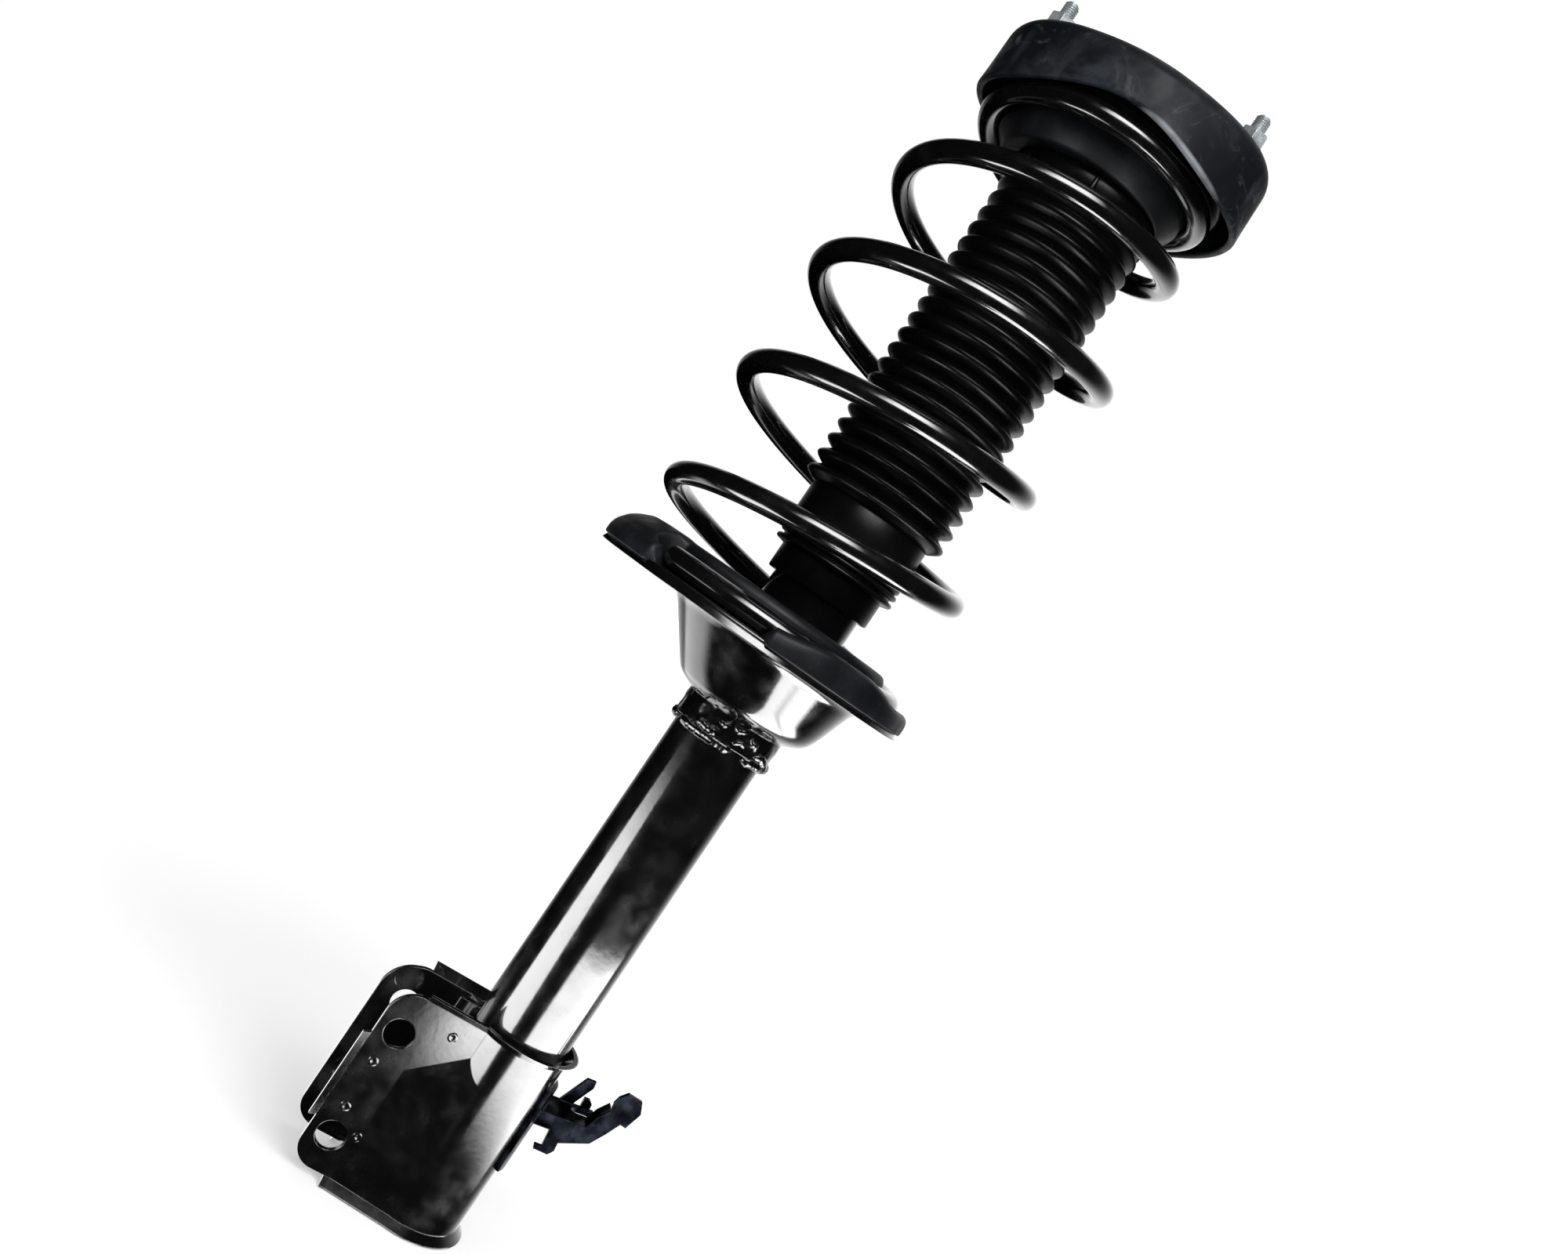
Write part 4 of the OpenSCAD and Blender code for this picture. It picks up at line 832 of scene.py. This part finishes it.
def lower_isolator():
    """Rubber pad: a groove for the seated turn, a domed block behind the end of the wire, an outer wall
    that stands higher beside the cut-out, and the cut-out itself."""
    groove_in = SPRING_R - WIRE_R - 0.7 * MM
    groove_out = SPRING_R + WIRE_R + 0.9 * MM
    rim_in = SEAT_RIM_R - SEAT_WALL - WELD_GAP
    rim_out = SEAT_RIM_R + WELD_GAP
    skin_r = SEAT_RIM_R + 2 * MM
    skin_low = RIM_LOW + 3 * MM
    inner_r = SPRING_R - WIRE_R - 9 * MM
    hub_top, lip_low, lip_high = 11.5 * MM, 1.5 * MM, 6.6 * MM
    floor_z = PLATE_TOP + WELD_GAP
    under_z = RIM_TOP + WELD_GAP
    cut_z = PAD_TOP - 0.5 * MM
    # directions in degrees: start and end, and the widths of the ramps before and after them
    tall_lip, block, cut_out = (284, 298, 22, 26), (121, 209, 10, 5.5), (218, 260, 3.5, 3.5)

    def within(degrees, start, end, rise, fall):
        """1 between two directions, with smooth ramps of the given widths outside them."""
        return smooth((degrees - start + rise) / rise) * smooth((end + fall - degrees) / fall)

    def mix(a, b, share):
        return [(p[0] + (q[0] - p[0]) * share, p[1] + (q[1] - p[1]) * share) for p, q in zip(a, b)]

    def section(angle):
        degrees = math.degrees(angle)
        lip_top = lip_low + (lip_high - lip_low) * within(degrees, *tall_lip)
        inner = [(inner_r, floor_z), (inner_r, hub_top - 2 * MM), (inner_r + 2 * MM, hub_top)]
        grooved = [(groove_in - 2.5 * MM, hub_top), (groove_in, hub_top - 3 * MM), (groove_in, PAD_TOP),
                   (groove_out, PAD_TOP), (groove_out, lip_top), (skin_r - 3.5 * MM, lip_top),
                   (skin_r - 0.8 * MM, lip_top - 2 * MM), (skin_r, lip_top - 5.5 * MM)]
        domed = [(groove_in - 2.5 * MM, hub_top + 0.6 * MM), (SPRING_R - 2 * MM, hub_top),
                 (SPRING_R + 4 * MM, hub_top - 2.8 * MM), (groove_out, 6.9 * MM),
                 (groove_out + 2.4 * MM, 5 * MM), (skin_r - 1.5 * MM, 0.5 * MM),
                 (skin_r - 0.5 * MM, -2 * MM), (skin_r, -4 * MM)]
        skirt = [(skin_r, skin_low), (rim_out, skin_low), (rim_out, under_z), (rim_in, under_z)]
        cut_wall = [grooved[0], grooved[1], grooved[2], (groove_out - 3 * MM, PAD_TOP),
                    (groove_out - 3 * MM, cut_z)]
        cut_wall += [(rim_in - 0.1 * MM, cut_z - 0.02 * MM * i) for i in range(7)]
        outer = mix(grooved, domed, within(degrees, *block)) + skirt
        outer = mix(outer, cut_wall, within(degrees, *cut_out))
        line = inner + outer + [(rim_in, floor_z)]
        spots = [canted(r * math.cos(angle), r * math.sin(angle), z) for r, z in line]
        return soften(spots, 1.6 * MM, steps=4)

    piece = ring_of_sections("seat_pad", section, "pad_rubber", "strut", steps=540, sharp=50)
    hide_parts("lower_isolator")


# ------ welds

def weld_bead(name, path, outward, radius, body, seed=0):
    """Fillet bead along a path of points, with the ripples and uneven toes of a hand-guided weld."""
    sides, end_steps = 10, 5
    ripple, ripple_share = 2.2 * MM, 0.14       # length of a ripple, and its height as a share of the bead
    uneven, uneven_share = 5 * MM, 0.22         # the same for its slow swelling
    end_size, width = 0.35, 0.95                # size at both ends, and width as a share of the height
    rows, run = [], 0.0
    for i, point in enumerate(path):
        ahead, behind = path[min(i + 1, len(path) - 1)], path[max(i - 1, 0)]
        along = (ahead - behind).normalized()
        run += (point - behind).length if i else 0.0
        out = outward[i] - along * outward[i].dot(along)
        out.normalize()
        side = along.cross(out)
        taper = smooth((i + 0.5) / end_steps) * smooth((len(path) - 0.5 - i) / end_steps)
        swell = (1 + ripple_share * abs(math.sin(math.pi * run / ripple))
                 + uneven_share * noise.noise(Vector((run / uneven, seed, 0))))
        size = radius * (end_size + (1 - end_size) * taper) * swell
        rows.append(loop(point, size * out, width * size * side, sides))
    return skin(name, rows, "gloss_black", body, caps=True, sharp=180)


def arc_path(radius, z, start, sweep, step=0.8 * MM, wander=0.0):
    """Points and outward directions along an arc round the rod axis; angles in degrees."""
    count = max(8, round(math.radians(sweep) * radius / step))
    angles = [math.radians(start + sweep * i / count) for i in range(count + 1)]
    points = [polar(radius, a, z + wander * noise.noise(Vector((a * 3, z * 40, 1)))) for a in angles]
    return points, [polar(1, a) for a in angles]


def seat_welds():
    """Four uneven beads where the neck of the seat meets the tube, and stray runs over the neck."""
    root_r, root_z, bead_r = TUBE_R + 0.6 * MM, NECK_LOW - 1.2 * MM, 3.1 * MM
    first, sweep = 20, 74       # degrees: start of the first bead, and length of each
    for i in range(4):
        points, outward = arc_path(root_r, root_z, first + 90 * i, sweep, wander=0.5 * MM)
        piece = weld_bead(f"seat_bead_{i + 1}", points, outward, bead_r, "strut", seed=i)
        if i == 0:
            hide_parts("seat_welds")
    # start and sweep in degrees; height above the foot of the neck at both ends and bead radius in mm
    stray_runs = [(224, 28, 1.5, 4.0, 2.9), (246, 12, 7.5, 11.0, 1.9), (262, 17, 10.5, 11.2, 1.9),
                  (284, 12, 10.5, 5.5, 2.1), (268, 15, 4.0, 5.0, 1.6), (298, 24, 3.5, 2.0, 2.3)]
    for i, (start, sweep, rise, end_rise, radius) in enumerate(stray_runs):
        points, outward = arc_path(NECK_R, NECK_LOW, start, sweep, step=0.6 * MM)
        for k, point in enumerate(points):
            share = k / (len(points) - 1)
            point.z += (rise + (end_rise - rise) * share + 0.8 * math.sin(7 * share + i)) * MM
        weld_bead(f"neck_run_{i + 1}", points, outward, radius * MM, "strut", seed=10 + i)


def spot_marks():
    """Round marks with a raised rim that the resistance welds to the inner saddle leave on the near
    flange."""
    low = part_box("knuckle_bracket")[0]
    face_y, sunk = -21 * MM, 0.02 * MM
    sides = 24
    # X and height above the foot of the bracket, then radius and height of the mark, in millimetres
    marks = [(-32.8, 94.2), (-59.3, 65.2), (-58.2, 39.2), (-44.4, 28.4), (-30.8, 15.2)]
    profile = [(0.0, 0.02), (0.7, 0.03), (1.3, 0.2), (1.8, 0.26), (2.3, 0.16), (2.7, 0.0)]
    for i, (x, rise) in enumerate(marks):
        centre = Vector((x * MM, face_y, low[2] + rise * MM))
        rows = []
        for r, height in profile:
            row = []
            for a in (math.tau * k / sides for k in range(sides)):
                wobble = 1 + 0.12 * noise.noise(Vector((math.cos(a), math.sin(a), i * 3.1)) * 1.5)
                reach = max(r, 0.01) * MM * wobble
                row.append(centre + Vector((reach * math.cos(a), sunk - height * MM, reach * math.sin(a))))
            rows.append(row)
        skin(f"spot_mark_{i + 1}", rows, "gloss_black", "strut", sharp=180)


# ------ stage

def plain_object(name, mesh, material):
    mesh.materials.append(material)
    thing = bpy.data.objects.new(name, mesh)
    scene.collection.objects.link(thing)
    thing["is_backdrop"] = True
    return thing


def floor():
    """Pale floor that shows the soft shadow near the strut and runs out into the white backdrop; from
    below it isn't there."""
    # metres from the origin over which the floor turns white, and how much it shines there
    near, far, near_shine, far_shine = 0.25, 1.3, 0.3, 1.0
    half, drop = 12.0, 0.5 * MM
    s = Shader("pale_floor", (0.9, 0.9, 0.9), 0.9)
    s.feed("Specular IOR Level", 0.1)
    s.feed("Emission Color", (1, 1, 1, 1))
    distance = s.add("ShaderNodeVectorMath", {0: s.place}, operation="LENGTH")
    lift = s.span(distance.outputs["Value"], near, far, near_shine, far_shine, kind="LINEAR")
    camera_ray = s.add("ShaderNodeLightPath").outputs["Is Camera Ray"]
    s.feed("Emission Strength", s.math("MULTIPLY", lift, camera_ray))
    below = s.add("ShaderNodeNewGeometry").outputs["Backfacing"]
    clear = s.add("ShaderNodeBsdfTransparent").outputs[0]
    above_only = s.add("ShaderNodeMixShader", {0: below, 1: s.main.outputs[0], 2: clear})
    s.fill(s.tree.nodes["Material Output"], {"Surface": above_only.outputs[0]})
    mesh = bpy.data.meshes.new("floor")
    corners = [(-half, -half, 0), (half, -half, 0), (half, half, 0), (-half, half, 0)]
    mesh.from_pydata(corners, [], [(0, 1, 2, 3)])
    thing = plain_object("floor", mesh, s.material)
    thing.location.z = cad_box[0][2] - drop
    thing.visible_glossy = False


def light_card(name, surface, strength, fade=(0.15, 0.15, 0.15)):
    """Card that only reflections see, black at strength 0; surface(u, v) gives its points. It thins out to
    nothing over the given shares of its width at the sides and of its height at the foot and the head."""
    columns, rows = 48, 16
    points, cover = [], []
    for j in range(rows + 1):
        for i in range(columns + 1):
            u, v = i / columns, j / rows
            points.append(surface(u, v))
            dim_u = smooth(min(u, 1 - u) / fade[0]) if fade[0] else 1.0
            dim_v = smooth(v / fade[1]) * smooth((1 - v) / fade[2]) if fade[1] else 1.0
            cover.append(dim_u * dim_v)
    width = columns + 1
    faces = [(j * width + i, j * width + i + 1, (j + 1) * width + i + 1, (j + 1) * width + i)
             for j in range(rows) for i in range(columns)]
    mesh = bpy.data.meshes.new(name)
    mesh.from_pydata(points, [], faces)
    mesh.attributes.new("cover", "FLOAT", "POINT").data.foreach_set("value", cover)
    material = bpy.data.materials.new(name)
    nodes = Nodes(material)
    nodes.tree.nodes.clear()
    share = nodes.add("ShaderNodeAttribute", attribute_name="cover").outputs["Fac"]
    clear = nodes.add("ShaderNodeBsdfTransparent").outputs[0]
    light = nodes.add("ShaderNodeEmission", {"Strength": strength}).outputs[0]
    mix = nodes.add("ShaderNodeMixShader", {0: share, 1: clear, 2: light}).outputs[0]
    nodes.add("ShaderNodeOutputMaterial", {"Surface": mix})
    card = plain_object(name, mesh, material)
    card.visible_camera = False
    card.visible_diffuse = False
    card.visible_shadow = False
    card.visible_transmission = False


def dome(start, end, low, high, radius=2.0):
    """Patch of a sphere round the strut: its span in degrees to the right of the camera, and in degrees of
    height."""
    def surface(u, v):
        turn = CAMERA_BEARING + math.radians(start + (end - start) * u)
        tilt = math.radians(low + (high - low) * v)
        return Vector((0, 0, CAMERA_PLACE.z)) + polar(radius * math.cos(tilt), turn, radius * math.sin(tilt))
    return surface


def screen(foot, head, low, high):
    """Upright curved screen close to the strut: foot and head are its spans in degrees to the right of the
    camera, and low and high are the heights of its foot and head at the left and the right end."""
    radius = 0.35

    def surface(u, v):
        span = [foot[k] + (head[k] - foot[k]) * v for k in (0, 1)]
        turn = CAMERA_BEARING + math.radians(span[0] + (span[1] - span[0]) * u)
        bottom, top = low[0] + (low[1] - low[0]) * u, high[0] + (high[1] - high[0]) * u
        return polar(radius, turn, bottom + (top - bottom) * v)
    return surface


def ground(start, end, near, away, z):
    """Level patch of a ring round the rod axis, between two radii, at a height."""
    def surface(u, v):
        return polar(near + (away - near) * v, CAMERA_BEARING + math.radians(start + (end - start) * u), z)
    return surface


def soft_light(name, bearing, height, distance, size, power):
    """Square area light aimed at the middle of the strut; bearing is to the right of the camera's."""
    turn, tilt = CAMERA_BEARING + math.radians(bearing), math.radians(height)
    target = Vector((0, 0, CAMERA_PLACE.z))
    place = target + distance * Vector((math.cos(tilt) * math.cos(turn), math.cos(tilt) * math.sin(turn),
                                        math.sin(tilt)))
    lamp = bpy.data.lights.new(name, "AREA")
    lamp.size = size
    lamp.energy = power
    thing = bpy.data.objects.new(name, lamp)
    thing.location = place
    thing.rotation_euler = (target - place).to_track_quat("-Z", "Y").to_euler()
    thing.visible_glossy = False
    scene.collection.objects.link(thing)


def world():
    """White where the camera, reflections or glass look at it, and a soft grey fill for diffuse light."""
    backdrop = bpy.data.worlds.new("studio")
    scene.world = backdrop
    fill, white = 0.55, 1.0
    nodes = Nodes(backdrop)
    path = nodes.add("ShaderNodeLightPath").outputs
    seen = path["Is Camera Ray"]
    for ray in ("Is Glossy Ray", "Is Transmission Ray"):
        seen = nodes.math("MAXIMUM", seen, path[ray])
    strength = nodes.span(seen, 0, 1, fill, white, kind="LINEAR")
    nodes.fill(nodes.tree.nodes["Background"], {"Color": (1, 1, 1, 1), "Strength": strength})


def lights():
    """Three soft lamps for the diffuse light, and the cards that the gloss and the steel reflect."""
    # bearing and height in degrees, distance and size in metres, power in watts
    soft_light("key", 40, 35, 1.8, 1.4, 22)
    soft_light("fill", -55, 10, 2.0, 1.4, 6)
    soft_light("under", 25, -25, 1.6, 1.0, 4)
    # name, shape and strength of each card, and how it thins out. Black ones: a dark room all round, and
    # a ring that keeps the light of the ground off the left ends of the coils
    light_card("dark_flag", dome(-190, 168, -88, 80, radius=4.0), 0.0, fade=(0.16, 0, 0))
    light_card("coil_flag", ground(-196, -70, 0.115, 1.7, -0.323), 0.0, fade=(0.12, 0, 0))
    # white ones: two screens beside the tube, a soft box above the camera, and patches of lit ground
    light_card("screen_right", screen((13, 116), (13, 116), (-0.75, -0.80), (-0.585, -0.585)), 9.0,
               fade=(0.07, 0.42, 0.12))
    light_card("screen_left", screen((-74, -8), (-71, -42), (-0.77, -0.77), (-0.43, -0.44)), 8.0,
               fade=(0.08, 0.25, 0.3))
    light_card("box_high", dome(-28, 34, 20, 60), 9.0, fade=(0.35, 0.2, 0.2))
    light_card("ground_left", ground(-172, -92, 0.42, 1.8, -1.1), 1.7, fade=(0.25, 0.12, 0.3))
    light_card("ground_right", ground(34, 122, 0.12, 0.66, -1.1), 9.0, fade=(0.06, 0.06, 0.1))


def camera():
    """Level camera, rolled so that the strut leans as it was photographed."""
    back = polar(1, CAMERA_BEARING)
    right = Vector((0, 0, 1)).cross(back).normalized()
    up = Vector((0, 0, 1))
    image_right = math.cos(CAMERA_ROLL) * right + math.sin(CAMERA_ROLL) * up
    image_up = math.cos(CAMERA_ROLL) * up - math.sin(CAMERA_ROLL) * right
    data = bpy.data.cameras.new("camera")
    data.lens = CAMERA_LENS
    data.sensor_width = SENSOR_WIDTH
    data.shift_y = CAMERA_SHIFT
    data.clip_start = 10 * MM
    thing = bpy.data.objects.new("camera", data)
    rotation = Matrix((image_right, image_up, back)).transposed().to_4x4()
    thing.matrix_world = Matrix.Translation(CAMERA_PLACE) @ rotation
    scene.collection.objects.link(thing)
    scene.camera = thing


# ------ build

scene.view_settings.view_transform = "Standard"
camera()
dress_nodes()
mount_housing()
tower_studs()
rod()
mount_rubber()
upper_isolator()
bump_stop()
dust_boot()
collar_ribs()
coil_spring()
lower_spring_seat()
lower_isolator()
seat_welds()
spot_marks()
world()
lights()
floor()
boxes = {"cad": cad_box, "visual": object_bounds()}
{key: [list(map(float, corner)) for corner in box] for key, box in boxes.items()}
